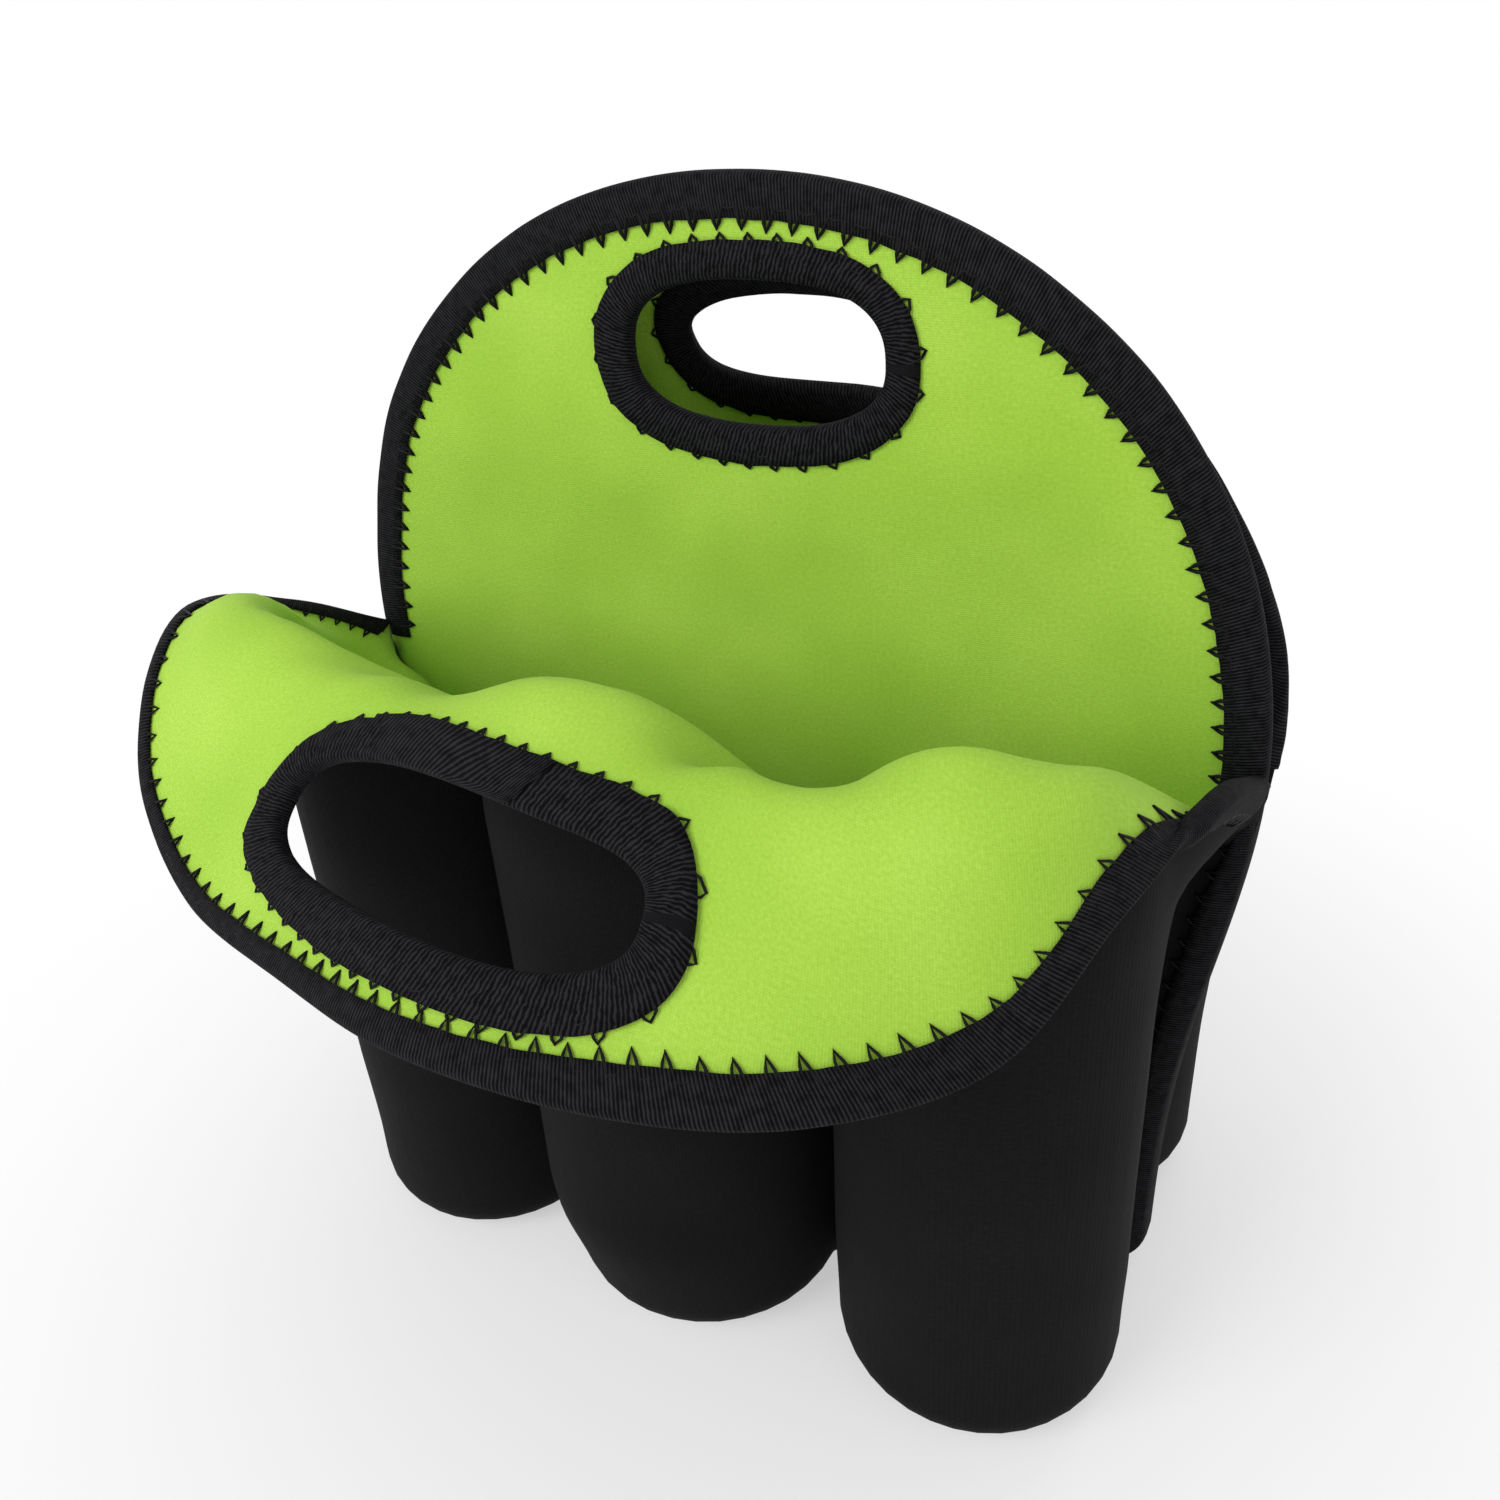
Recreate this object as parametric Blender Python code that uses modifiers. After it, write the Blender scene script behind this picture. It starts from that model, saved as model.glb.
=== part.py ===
"""Foam cloth tote for six drink bottles.

Two rows of three round pockets stand on each side of a flat divider.  Above the
pocket mouths each of the three panels goes on as an arched flap with an oval
handle hole, and every cut edge of a flap is bound with a folded tape.  The front
flap lies folded forward over its pockets, as the tote stands open.

Frame: X along the row of pockets, Y from front to back, Z up, origin on the
floor under the middle of the divider.  All lengths are in metres.
"""
import math

import bmesh
import bpy
from mathutils import Vector

# Cloth and tape
SHELL = 0.0019               # foam with the black outer knit
LINING = 0.0012              # lime inner knit with its share of the foam
DIVIDER = 0.0040             # divider sheet, lime on both faces
FIT = 0.0003                 # gap between pieces that touch
TAPE = 0.0008                # thickness of the binding tape
TAPE_LAND = 0.0088           # how far an edge tape covers each face
HOLE_TAPE_LAND = 0.0095      # the same round a handle hole
TAPE_FIT = 0.0006            # slack between tape and cloth

# Pockets
POCKET_RADIUS = 0.0370       # outside of a pocket's round wall
VALLEY_RADIUS = 0.0025       # outside of the groove between two pockets
POCKET_DEPTH = 0.0795        # divider's middle to the front of a pocket
MOUTH_HEIGHT = 0.1580        # floor to the pocket mouths
HEEL_RADIUS = 0.0230         # wall turning into the bottom
SEAM_TURN = 0.0054           # end pocket's wall turning out to the side seam
FIN = 0.0116                 # straight stretch at the side seam, near the floor
CORNER_SPREAD = 0.0130       # side seam leans out by this much at the mouth
BACK_FLARE = 0.0060          # end pockets of the back row lean out at the mouth
MIDDLE_BULGE = 0.0080        # front middle pocket stands fuller than its neighbours
MIDDLE_SWAY = 0.0050         # and leans to the left

# Flaps
ARCH_HEIGHT = 0.1270         # divider's arch above the mouth
FLAP_HALF_WIDTH = 0.1720     # half the cut width of an outer panel's arch
FLAP_HEIGHT = 0.1300         # height of that arch along the cloth
FLAP_CORNER = 0.0040         # cut height of that arch at its corners
CREST_TO_FOLD = 0.0030       # front flap's highest point to its fold line
BACK_FOLD_RISE = 0.0450      # back flap's fold above the mouth
DIVIDER_FOLD_RISE = 0.0080   # divider's fold above the mouth
FOLD_GAP = 0.0020            # slit between an outer flap and the cloth it hinges on
DIVIDER_FOLD_GAP = 0.0007    # the same for the divider's flap
FOLD_LIP = 0.0040            # first mesh row of a flap beyond its fold

# Handle holes, as cut: half width, half height and drop below the arch's top
OUTER_HOLE_HALF_WIDTH = 0.0510
OUTER_HOLE_HALF_HEIGHT = 0.0170
OUTER_HOLE_DROP = 0.0375
FRONT_HOLE_SHIFT = -0.0030   # front flap's hole hangs a little to the left
DIVIDER_HOLE_HALF_WIDTH = 0.0335
DIVIDER_HOLE_HALF_HEIGHT = 0.0150
DIVIDER_HOLE_DROP = 0.0375

# Inside and seams
WEB = 0.0040                 # partition between two pockets of a row
WEB_TOP_DROP = 0.0120        # partition's top below the mouth
SEAM_TAPE_LAND = 0.0060      # tape over the side seam

# Mesh fineness
LOBE_STEPS = 6
VALLEY_STEPS = 2
OUTER_STEPS = 5
TURN_STEPS = 2
HEEL_STEPS = 3
EDGE_SIDES = 24
RING_ROWS = 2
ARCH_SIDES = 36
RUN_STEPS = 48               # steps that measure the arch's edge
COLUMN_STEPS = 24            # steps that measure each half of a panel's column
HALVINGS = 30                # halvings of a search along a curve

# Squareness exponent of the rounded holes, and shares that shape the panels
HOLE_SQUARENESS = 2.5
ARCH_SQUARENESS = 2.1
FLOOR_BULGE_SHARE = 0.3      # middle pocket's bulge at the floor
MOUTH_PULL_SHARE = 0.45      # handles of a front column's curves: at the mouth,
CREST_PULL_SHARE = 0.25      # before the crest,
FALL_PULL_SHARE = 0.28       # past the crest
EDGE_PULL_SHARE = 0.36       # and at the edge
BACK_PULL_SHARE = 0.2        # handles of a back column's curves
BACK_BOW_SHARE = 0.10        # how far a back column bows outwards
PROBE_SHARE = 0.009          # short step along an edge that gives its direction
WALL_SHARES = (0.42, 0.78, 0.88)   # heights of a wall's mesh rows, heel to mouth
FRONT_RISE_SHARES = (0.17, 0.33, 0.45, 0.54, 0.62, 0.71, 0.82, 0.92)
BACK_RISE_SHARES = (0.22, 0.42, 0.60, 0.77, 0.91)
TAPE_COVER_SHARE = 0.90      # part of the land's mesh that a tape covers
TAPE_STOP_SHARE = 0.25       # part of a mesh step that a tape stops short of a fold
OUTER_SHARE = 0.75           # part of the last place taken by the pocket's round wall
TURN_SHARE = 0.90            # and by the turn to the side seam
STRAIGHT_FROM = 2.4          # place beyond which a panel's columns turn straight

# Sizes that follow
OUTSIDE = FIT / 2 + SHELL
INSIDE = FIT / 2 + LINING
PITCH = 2 * (POCKET_RADIUS + VALLEY_RADIUS)
CORE = POCKET_RADIUS - OUTSIDE
VALLEY = VALLEY_RADIUS + OUTSIDE
AXIS_Y = POCKET_DEPTH - POCKET_RADIUS
SEAM_Y = DIVIDER / 2 + FIT + INSIDE
TURN = math.acos(-(AXIS_Y - SEAM_Y - SEAM_TURN) / (CORE + SEAM_TURN))
TURN_X = PITCH + (CORE + SEAM_TURN) * math.sin(TURN)
SEAM_FOOT = TURN_X + FIN
MOUTH_HALF_WIDTH = SEAM_FOOT + CORNER_SPREAD
HEEL = HEEL_RADIUS - OUTSIDE
QUARTER_SHARE = CORE / (CORE + VALLEY)
SIDE_SHARE = OUTER_SHARE * math.pi / 2 / TURN
BASE_TOP = OUTSIDE + INSIDE
LIFT = BASE_TOP + FIT

# Crest of the folded front flap: lobe place, then shares of the mouth's half
# width, of the depth from side seam to pocket front, and of the arch height
CREST_SHARES = (
    (-3.0, -1.000, 0.000, 0.016),
    (-2.8, -0.968, 0.452, 0.213),
    (-2.5, -0.864, 0.822, 0.315),
    (-2.0, -0.672, 1.006, 0.343),
    (-1.0, -0.332, 1.000, 0.193),
    (0.0, 0.000, 1.105, 0.366),
    (1.0, 0.332, 0.979, 0.193),
    (2.0, 0.672, 1.006, 0.327),
    (2.5, 0.868, 0.810, 0.200),
    (2.8, 0.950, 0.450, 0.125),
    (3.0, 1.000, 0.000, 0.016),
)

# Edge of the folded front flap from the left corner to the right one, in the
# same shares
FRONT_EDGE_SHARES = (
    (-1.000, 0.000, 0.030),
    (-1.024, 0.412, 0.173),
    (-0.992, 0.848, 0.268),
    (-0.952, 1.112, 0.189),
    (-0.872, 1.283, 0.031),
    (-0.640, 1.495, -0.063),
    (-0.320, 1.706, -0.063),
    (0.000, 1.825, -0.047),
    (0.324, 1.779, -0.055),
    (0.580, 1.608, -0.063),
    (0.784, 1.290, -0.040),
    (0.892, 0.970, 0.110),
    (0.968, 0.500, 0.135),
    (1.000, 0.000, 0.030),
)

# Edge of the standing back flap, from the top to the right corner, in the same
# shares; the left half mirrors it
BACK_EDGE_SHARES = (
    (0.000, 0.092, 0.953),
    (0.320, 0.089, 0.915),
    (0.565, 0.083, 0.800),
    (0.735, 0.076, 0.645),
    (0.845, 0.100, 0.500),
    (0.925, 0.142, 0.360),
    (0.980, 0.160, 0.235),
    (1.005, 0.125, 0.120),
    (1.000, 0.000, 0.030),
)


def clear_scene():
    """Start from an empty scene."""
    for old in list(bpy.data.objects):
        bpy.data.objects.remove(old)


def make_collection(name):
    """A new collection in the scene."""
    made = bpy.data.collections.new(name)
    bpy.context.scene.collection.children.link(made)
    return made


def make_finish(name, colour, roughness):
    """Principled material of a plain colour."""
    made = bpy.data.materials.new(name)
    made.use_nodes = True
    shader = made.node_tree.nodes["Principled BSDF"]
    shader.inputs["Base Color"].default_value = (*colour, 1)
    shader.inputs["Roughness"].default_value = roughness
    shader.inputs["Metallic"].default_value = 0
    return made


def add_object(name, data, finish, parent=None):
    """Link a mesh or curve as a named piece with its own copy of a finish."""
    piece = bpy.data.objects.new(name, data)
    own = finish.copy()
    own.name = name + "_finish"
    data.materials.append(own)
    TOTE.objects.link(piece)
    if parent is not None:
        piece.parent = parent
        piece.matrix_parent_inverse = parent.matrix_world.inverted()
    return piece


# Curves

def hermite(p0, p1, t0, t1, f):
    """Point on a cubic between two ends with given tangents."""
    f2 = f * f
    f3 = f2 * f
    return (p0 * (2 * f3 - 3 * f2 + 1) + t0 * (f3 - 2 * f2 + f)
            + p1 * (3 * f2 - 2 * f3) + t1 * (f3 - f2))


def bezier(points, f):
    """Point on a cubic Bezier."""
    g = 1 - f
    return (points[0] * g ** 3 + points[1] * 3 * g * g * f
            + points[2] * 3 * g * f * f + points[3] * f ** 3)


def spline(knots, points, at):
    """Smooth curve through points that are placed at rising knots."""
    last = len(knots) - 1
    i = 0
    while i < last - 1 and at > knots[i + 1]:
        i += 1
    before = max(i - 1, 0)
    after = min(i + 2, last)
    span = knots[i + 1] - knots[i]
    t0 = (points[i + 1] - points[before]) * (span / (knots[i + 1] - knots[before]))
    t1 = (points[after] - points[i]) * (span / (knots[after] - knots[i]))
    return hermite(points[i], points[i + 1], t0, t1, (at - knots[i]) / span)


def smooth(f):
    """Ease from 0 to 1."""
    f = min(max(f, 0), 1)
    return f * f * (3 - 2 * f)


# Plan of a row of pockets, at the seam between shell and lining

def flare(z):
    """Share of the lean at a height."""
    return smooth(z / MOUTH_HEIGHT) ** 2


def opened(z):
    """How far the end pocket's corner has opened at a height."""
    closed = HEEL_RADIUS + (MOUTH_HEIGHT - HEEL_RADIUS) * WALL_SHARES[-1]
    return smooth((z - closed) / (MOUTH_HEIGHT - closed))


def seam_half(z):
    """Middle to the end of the side seam at a height."""
    return SEAM_FOOT + CORNER_SPREAD * flare(z)


def lobe_plan(place):
    """Plan point and inward direction between two neighbouring pocket fronts."""
    run = place if place <= 1 else 2 - place
    if run <= QUARTER_SHARE:
        angle = run / QUARTER_SHARE * math.pi / 2
        spot = Vector((CORE * math.sin(angle), -AXIS_Y - CORE * math.cos(angle), 0))
    else:
        angle = (1 - run) / (1 - QUARTER_SHARE) * math.pi / 2
        spot = Vector((PITCH / 2 - VALLEY * math.sin(angle), -AXIS_Y + VALLEY * math.cos(angle), 0))
    inward = Vector((-math.sin(angle), math.cos(angle), 0))
    if place > 1:
        spot.x = PITCH - spot.x
        inward.x = -inward.x
    return spot, inward


def end_plan(share, z, lean):
    """Plan point and inward direction from an end pocket's front to the side seam.
    Below, the wall turns back in to the seam; at the mouth it runs straight to it."""
    end = Vector((seam_half(z), -SEAM_Y, 0))
    if share <= OUTER_SHARE:
        angle = share / OUTER_SHARE * TURN
        spot = Vector((PITCH + CORE * math.sin(angle) + lean, -AXIS_Y - CORE * math.cos(angle), 0))
    elif share <= TURN_SHARE:
        angle = TURN * (TURN_SHARE - share) / (TURN_SHARE - OUTER_SHARE)
        spot = Vector((TURN_X - SEAM_TURN * math.sin(angle),
                       -SEAM_Y - SEAM_TURN * (1 - math.cos(angle)), 0))
    else:
        angle = 0
        spot = end - Vector((FIN * (1 - share) / (1 - TURN_SHARE), 0, 0))
    if SIDE_SHARE < share <= TURN_SHARE:
        side = Vector((PITCH + CORE + lean, -AXIS_Y, 0))
        root = end - Vector((FIN, 0, 0))
        straight = side.lerp(root, (share - SIDE_SHARE) / (TURN_SHARE - SIDE_SHARE))
        spot = spot.lerp(straight, flare(z))
    if SIDE_SHARE < share:
        side = Vector((PITCH + CORE + lean, -AXIS_Y, 0))
        straight = side.lerp(end, (share - SIDE_SHARE) / (1 - SIDE_SHARE))
        spot = spot.lerp(straight, opened(z))
    return spot, Vector((-math.sin(angle), math.cos(angle), 0))


def plan_at(place, z, back=False):
    """Plan point of a panel at a height, its inward normal and the way its heel
    draws in; place is 0 at the middle pocket's front, 1 at a groove, 2 at an end
    pocket's front and 3 at the side seam."""
    side = math.copysign(1, place)
    far = abs(place)
    lean = BACK_FLARE * flare(z) * smooth(far - 1) if back else 0
    if far <= 2:
        spot, inward = lobe_plan(far)
        spot.x += lean
    else:
        spot, inward = end_plan(far - 2, z, lean)
    draw = inward if far - 2 <= SIDE_SHARE else Vector((-1, 0, 0))
    spot.x *= side
    inward.x *= side
    draw = Vector((draw.x * side, draw.y, 0)) if draw is not inward else inward.copy()
    if not back and far < 1:
        rise = FLOOR_BULGE_SHARE + (1 - FLOOR_BULGE_SHARE) * smooth(z / AXIS_Y)
        full = (1 - far * far) * rise
        spot -= inward * MIDDLE_BULGE * full
        spot.x -= MIDDLE_SWAY * full
    if back:
        for each in (spot, inward, draw):
            each.y = -each.y
    return spot, inward, draw


def lobe_places():
    """Places of the mesh columns from one side seam to the other."""
    half = [QUARTER_SHARE * i * 2 / LOBE_STEPS for i in range(LOBE_STEPS // 2)]
    valley = [QUARTER_SHARE + 2 * (1 - QUARTER_SHARE) * i / VALLEY_STEPS
              for i in range(VALLEY_STEPS + 1)]
    places = half + valley + [2 - p for p in reversed(half)]
    places += [2 + OUTER_SHARE * (i + 1) / OUTER_STEPS for i in range(OUTER_STEPS)]
    places += [2 + OUTER_SHARE + (TURN_SHARE - OUTER_SHARE) * (i + 1) / TURN_STEPS
               for i in range(TURN_STEPS)]
    places.append(3)
    return [-p for p in reversed(places[1:])] + places


def heel_at(turn):
    """Height and inset of the heel at an angle from the floor."""
    return OUTSIDE + HEEL * (1 - math.cos(turn)), HEEL * (1 - math.sin(turn))


def heel_angles():
    """Angles of the heel's mesh rows, from the floor up."""
    return [math.pi / 2 * i / HEEL_STEPS for i in range(HEEL_STEPS + 1)]


def wall_heights():
    """Heights of the mesh rows between heel and mouth."""
    return [HEEL_RADIUS + (MOUTH_HEIGHT - HEEL_RADIUS) * share for share in WALL_SHARES]


def wall_rows(places, back):
    """Rows of a pocket wall from its sewn foot to below the mouth."""
    rows = []
    for turn in heel_angles():
        z, inset = heel_at(turn)
        row = []
        for place in places:
            spot, _, draw = plan_at(place, z, back)
            row.append(Vector((spot.x + draw.x * inset, spot.y + draw.y * inset, z)))
        rows.append(row)
    for z in wall_heights():
        spots = [plan_at(place, z, back)[0] for place in places]
        rows.append([Vector((spot.x, spot.y, z)) for spot in spots])
    return rows


# Upper part of the outer panels

def share_point(shares, back=False):
    """Point of a table row of shares."""
    x, y, z = shares
    depth = SEAM_Y + (POCKET_DEPTH - SEAM_Y) * y
    return Vector((MOUTH_HALF_WIDTH * x, depth if back else -depth, MOUTH_HEIGHT + ARCH_HEIGHT * z))


CREST = ([row[0] for row in CREST_SHARES], [share_point(row[1:]) for row in CREST_SHARES])


def edge_curve(points):
    """Points of an edge with their running shares of its length."""
    runs = [0]
    for one, two in zip(points, points[1:]):
        runs.append(runs[-1] + (two - one).length)
    return [run / runs[-1] for run in runs], points


FRONT_EDGE = edge_curve([share_point(row) for row in FRONT_EDGE_SHARES])
BACK_EDGE = edge_curve([share_point((-x, y, z), True) for x, y, z in reversed(BACK_EDGE_SHARES[1:])]
                       + [share_point(row, True) for row in BACK_EDGE_SHARES])


def arch_height(place):
    """Height of the flat arch at a place."""
    return FLAP_HEIGHT * math.sqrt(max(1 - (place / 3) ** 2, 0)) + FLAP_CORNER


def arch_spot(start, end, share):
    """Point of the flat arch's edge at a share of the way between two runs."""
    target = start + (end - start) * share
    place = bisect(-3, 3, lambda p: arch_run(p) > target)
    return Vector((place * FLAP_HALF_WIDTH / 3, arch_height(place)))


def edge_inward(place):
    """Flat direction square to the arch's edge, into the panel."""
    across = place / 3 / FLAP_HALF_WIDTH
    upward = (arch_height(place) - FLAP_CORNER) / FLAP_HEIGHT ** 2
    return -Vector((across, upward)).normalized()


def arch_run(place):
    """Share of the flat arch's edge, from the left corner to a place."""
    def length(end):
        angles = [end * i / RUN_STEPS for i in range(RUN_STEPS + 1)]
        spots = [Vector((FLAP_HALF_WIDTH * math.sin(a), FLAP_HEIGHT * math.cos(a))) for a in angles]
        return sum((two - one).length for one, two in zip(spots, spots[1:]))
    share = length(math.asin(min(abs(place) / 3, 1))) / length(math.pi / 2) / 2
    return 0.5 + math.copysign(share, place)


def straighten(place, first, second):
    """Draw the columns near a corner out straight between mouth and edge."""
    share = smooth((abs(place) - STRAIGHT_FROM) / (TURN_SHARE + 2 - STRAIGHT_FROM))
    mouth, edge = first[0], second[3]
    line = [mouth.lerp(edge, i / 6) for i in range(7)]
    first = [point.lerp(line[i], share) for i, point in enumerate(first)]
    second = [point.lerp(line[i + 3], share) for i, point in enumerate(second)]
    return first, second


def front_column(place):
    """Control points of the two cubics of a front panel's column."""
    mouth = plan_at(place, MOUTH_HEIGHT)[0]
    mouth.z = MOUTH_HEIGHT
    crest = spline(*CREST, place)
    edge = spline(*FRONT_EDGE, arch_run(place))
    rise = (crest - mouth).length
    fall = edge - crest
    ahead = Vector((fall.x, fall.y, 0))
    ahead = ahead.normalized() if ahead.length > FIT else Vector((0, -1, 0))
    up = Vector((0, 0, 1))
    first = (mouth, mouth + up * rise * MOUTH_PULL_SHARE,
             crest - ahead * rise * CREST_PULL_SHARE, crest)
    second = (crest, crest + ahead * fall.length * FALL_PULL_SHARE,
              edge - fall * EDGE_PULL_SHARE, edge)
    return straighten(place, first, second)


def back_column(place):
    """Control points of the two cubics of a back panel's column."""
    mouth = plan_at(place, MOUTH_HEIGHT, back=True)[0]
    mouth.z = MOUTH_HEIGHT
    edge = spline(*BACK_EDGE, arch_run(place))
    lean = edge - mouth
    up = Vector((0, 0, 1))
    middle = mouth + lean / 2 + Vector((0, 1, 0)) * lean.length * BACK_BOW_SHARE
    pull = lean * BACK_PULL_SHARE
    first = (mouth, mouth + up * pull.length, middle - pull, middle)
    second = (middle, middle + pull, edge - pull, edge)
    return straighten(place, first, second)


COLUMN_CACHE = {}


def column_path(column, place):
    """Running lengths and points of a column."""
    key = (column.__name__, round(place, 6))
    if key not in COLUMN_CACHE:
        first, second = column(place)
        points = [bezier(first, i / COLUMN_STEPS) for i in range(COLUMN_STEPS + 1)]
        points += [bezier(second, (i + 1) / COLUMN_STEPS) for i in range(COLUMN_STEPS)]
        runs = [0]
        for one, two in zip(points, points[1:]):
            runs.append(runs[-1] + (two - one).length)
        COLUMN_CACHE[key] = (runs, points)
    return COLUMN_CACHE[key]


def panel_point(column, place, height):
    """Point of an upper panel at a share of its column's length."""
    runs, points = column_path(column, min(max(place, -3), 3))
    target = min(max(height, 0), 1) * runs[-1]
    i = 0
    while i < len(runs) - 2 and runs[i + 1] < target:
        i += 1
    span = max(runs[i + 1] - runs[i], FIT * FIT)
    return points[i].lerp(points[i + 1], (target - runs[i]) / span)


def bisect(low, high, beyond):
    """Value between low and high at which a test turns true."""
    for _ in range(HALVINGS):
        half = (low + high) / 2
        if beyond(half):
            high = half
        else:
            low = half
    return low


WING_COLUMNS = ((0, 1, 2, 3, 4), (-1, -2, -3, -4, -5))
FOLD_Y = max(-point.y for point in CREST[1]) + CREST_TO_FOLD
BACK_FOLD_Z = MOUTH_HEIGHT + BACK_FOLD_RISE


def cut_height(column, beyond, place):
    """Share of a column at which it goes beyond the fold."""
    runs, points = column_path(column, place)
    for i, point in enumerate(points):
        if beyond(point):
            return bisect(runs[i - 1] / runs[-1], runs[i] / runs[-1],
                          lambda h: beyond(panel_point(column, place, h)))
    return 1


def fold_ends(edge, beyond):
    """Places at which a panel's edge crosses its fold."""
    def static(place):
        return not beyond(spline(*edge, arch_run(place)))
    return -bisect(0, 3, lambda p: static(-p)), bisect(0, 3, static)


class Panel:
    """Outer panel: pocket walls, collar up to a straight fold, and a flap beyond."""

    def __init__(self, name, column, edge, beyond, rise_shares, step):
        self.name = name
        self.column = column
        self.back = column is back_column
        self.beyond = beyond
        self.rise_shares = rise_shares
        self.half_gap = step * (FOLD_GAP / 2)
        self.places = lobe_places()
        ends = fold_ends(edge, beyond)
        self.tops = []
        for place in self.places:
            self.tops.append(place / 3 * abs(ends[place > 0]))
        land = TAPE_LAND * 3 / FLAP_HALF_WIDTH
        for end, inner, *between, last in WING_COLUMNS:
            self.tops[inner] = self.tops[end] + edge_inward(self.tops[end]).x * land
            for i, column in enumerate(between):
                share = (i + 1) / (len(between) + 1)
                self.tops[column] = self.tops[inner] * (1 - share) + self.tops[last] * share

    def fold_spot(self, place):
        """Flat point of the fold at a place."""
        height = cut_height(self.column, self.beyond, place)
        return Vector((place * FLAP_HALF_WIDTH / 3, height * arch_height(place)))

    def flat_point(self, spot):
        """Point of the shaped panel for a flat one: across, and up from the mouth."""
        place = min(max(3 * spot[0] / FLAP_HALF_WIDTH, -3), 3)
        return panel_point(self.column, place, spot[1] / arch_height(place))

    def land_spot(self, place):
        """Flat point that lies, once shaped, a tape's land square inside the edge."""
        def edge_point(at):
            return self.flat_point((at * FLAP_HALF_WIDTH / 3, arch_height(at)))
        edge = Vector((place * FLAP_HALF_WIDTH / 3, arch_height(place)))
        inward = edge_inward(place)
        along = Vector((inward.y, -inward.x))
        rim = edge_point(place)
        run = edge_point(place + PROBE_SHARE) - edge_point(place - PROBE_SHARE)
        if along.x < 0:
            run = -run
        foot = edge + inward * TAPE_LAND
        slide = bisect(-TAPE_LAND, TAPE_LAND,
                       lambda s: (self.flat_point(foot + along * s) - rim).dot(run) > 0)
        return foot + along * slide

    def collar_rows(self):
        """Flat rows of the collar from the mouth to the fold, between the wings' edges."""
        feet = [Vector((place * FLAP_HALF_WIDTH / 3, 0)) for place in self.places]
        folds = [self.fold_spot(place) for place in self.tops]
        rows = [feet]
        for share in self.rise_shares:
            row = [foot.lerp(fold, share) for foot, fold in zip(feet, folds)]
            for end, inner, *between, last in WING_COLUMNS:
                turn = -1 if end == 0 else 1
                edge = arch_spot(arch_run(3 * turn), arch_run(self.tops[end]), share)
                bulge = edge - row[end]
                for i, place in enumerate(self.places):
                    if place * turn > 0:
                        row[i] += bulge * (place / 3) ** 2
                row[inner] = self.land_spot(3 * edge.x / FLAP_HALF_WIDTH)
                for i, column in enumerate(between):
                    row[column] = row[inner].lerp(row[last], (i + 1) / (len(between) + 1))
            rows.append(row)
        rows.append(folds)
        return rows


# Meshes of the cloth

def sheet_mesh(name, rows, flip, closed, slant):
    """Open sheet through rows of points, whose columns may close to a ring.  Slant
    tells which quads are split, so that a tape beside them can be split alike."""
    mesh = bpy.data.meshes.new(name)
    shape = bmesh.new()
    verts = [[shape.verts.new(spot) for spot in row] for row in rows]
    count = len(rows[0])
    for k, (low, high) in enumerate(zip(verts, verts[1:])):
        for i in range(count if closed else count - 1):
            j = (i + 1) % count
            faces = {0: ((low[i], low[j], high[j], high[i]),),
                     1: ((low[i], low[j], high[j]), (low[i], high[j], high[i])),
                     -1: ((low[i], low[j], high[i]), (low[j], high[j], high[i]))}
            for face in faces[slant(k, i)]:
                shape.faces.new(reversed(face) if flip else face)
    shape.to_mesh(mesh)
    shape.free()
    mesh.shade_smooth()
    return mesh


def add_plies(prefix, mesh, parent=None):
    """Shell and lining on the two sides of one sheet."""
    for suffix, finish, thickness, side in (("_shell", BLACK, SHELL, 1),
                                            ("_lining", LIME, LINING, -1)):
        piece = add_object(prefix + suffix, mesh.copy(), finish, parent)
        solid = piece.modifiers.new("thickness", "SOLIDIFY")
        solid.thickness = thickness
        solid.offset = side * (1 + FIT / thickness)
        solid.use_even_offset = False
        solid.use_rim = True


def sweep_mesh(name, sections, closed):
    """Closed body swept through tape sections."""
    mesh = bpy.data.meshes.new(name)
    shape = bmesh.new()
    verts = [[shape.verts.new(spot) for spot in section] for section in sections]
    pairs = list(zip(verts, verts[1:]))
    if closed:
        pairs.append((verts[-1], verts[0]))
    count = len(sections[0])
    for one, two in pairs:
        for i in range(count):
            j = (i + 1) % count
            if i in (1, 2, 6):
                shape.faces.new([one[i], one[j], two[j]])
                shape.faces.new([one[i], two[j], two[i]])
            else:
                shape.faces.new([one[i], one[j], two[i]])
                shape.faces.new([one[j], two[j], two[i]])
    if not closed:
        shape.faces.new(list(reversed(verts[0])))
        shape.faces.new(verts[-1])
    bmesh.ops.recalc_face_normals(shape, faces=shape.faces)
    shape.to_mesh(mesh)
    shape.free()
    return mesh


def tape_section(edge, inner, edge_normal, inner_normal, outside, inside):
    """Folded tape round a cut edge; outside and inside are the cloth's depths."""
    into = (inner - edge).normalized()
    out_gap = outside + TAPE_FIT
    in_gap = inside + TAPE_FIT
    lip = edge - into * TAPE_FIT
    fold = edge - into * (TAPE_FIT + TAPE)
    return [
        inner + inner_normal * (out_gap + TAPE),
        fold + edge_normal * (out_gap + TAPE),
        fold - edge_normal * (in_gap + TAPE),
        inner - inner_normal * (in_gap + TAPE),
        inner - inner_normal * in_gap,
        lip - edge_normal * in_gap,
        lip + edge_normal * out_gap,
        inner + inner_normal * out_gap,
    ]


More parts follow.
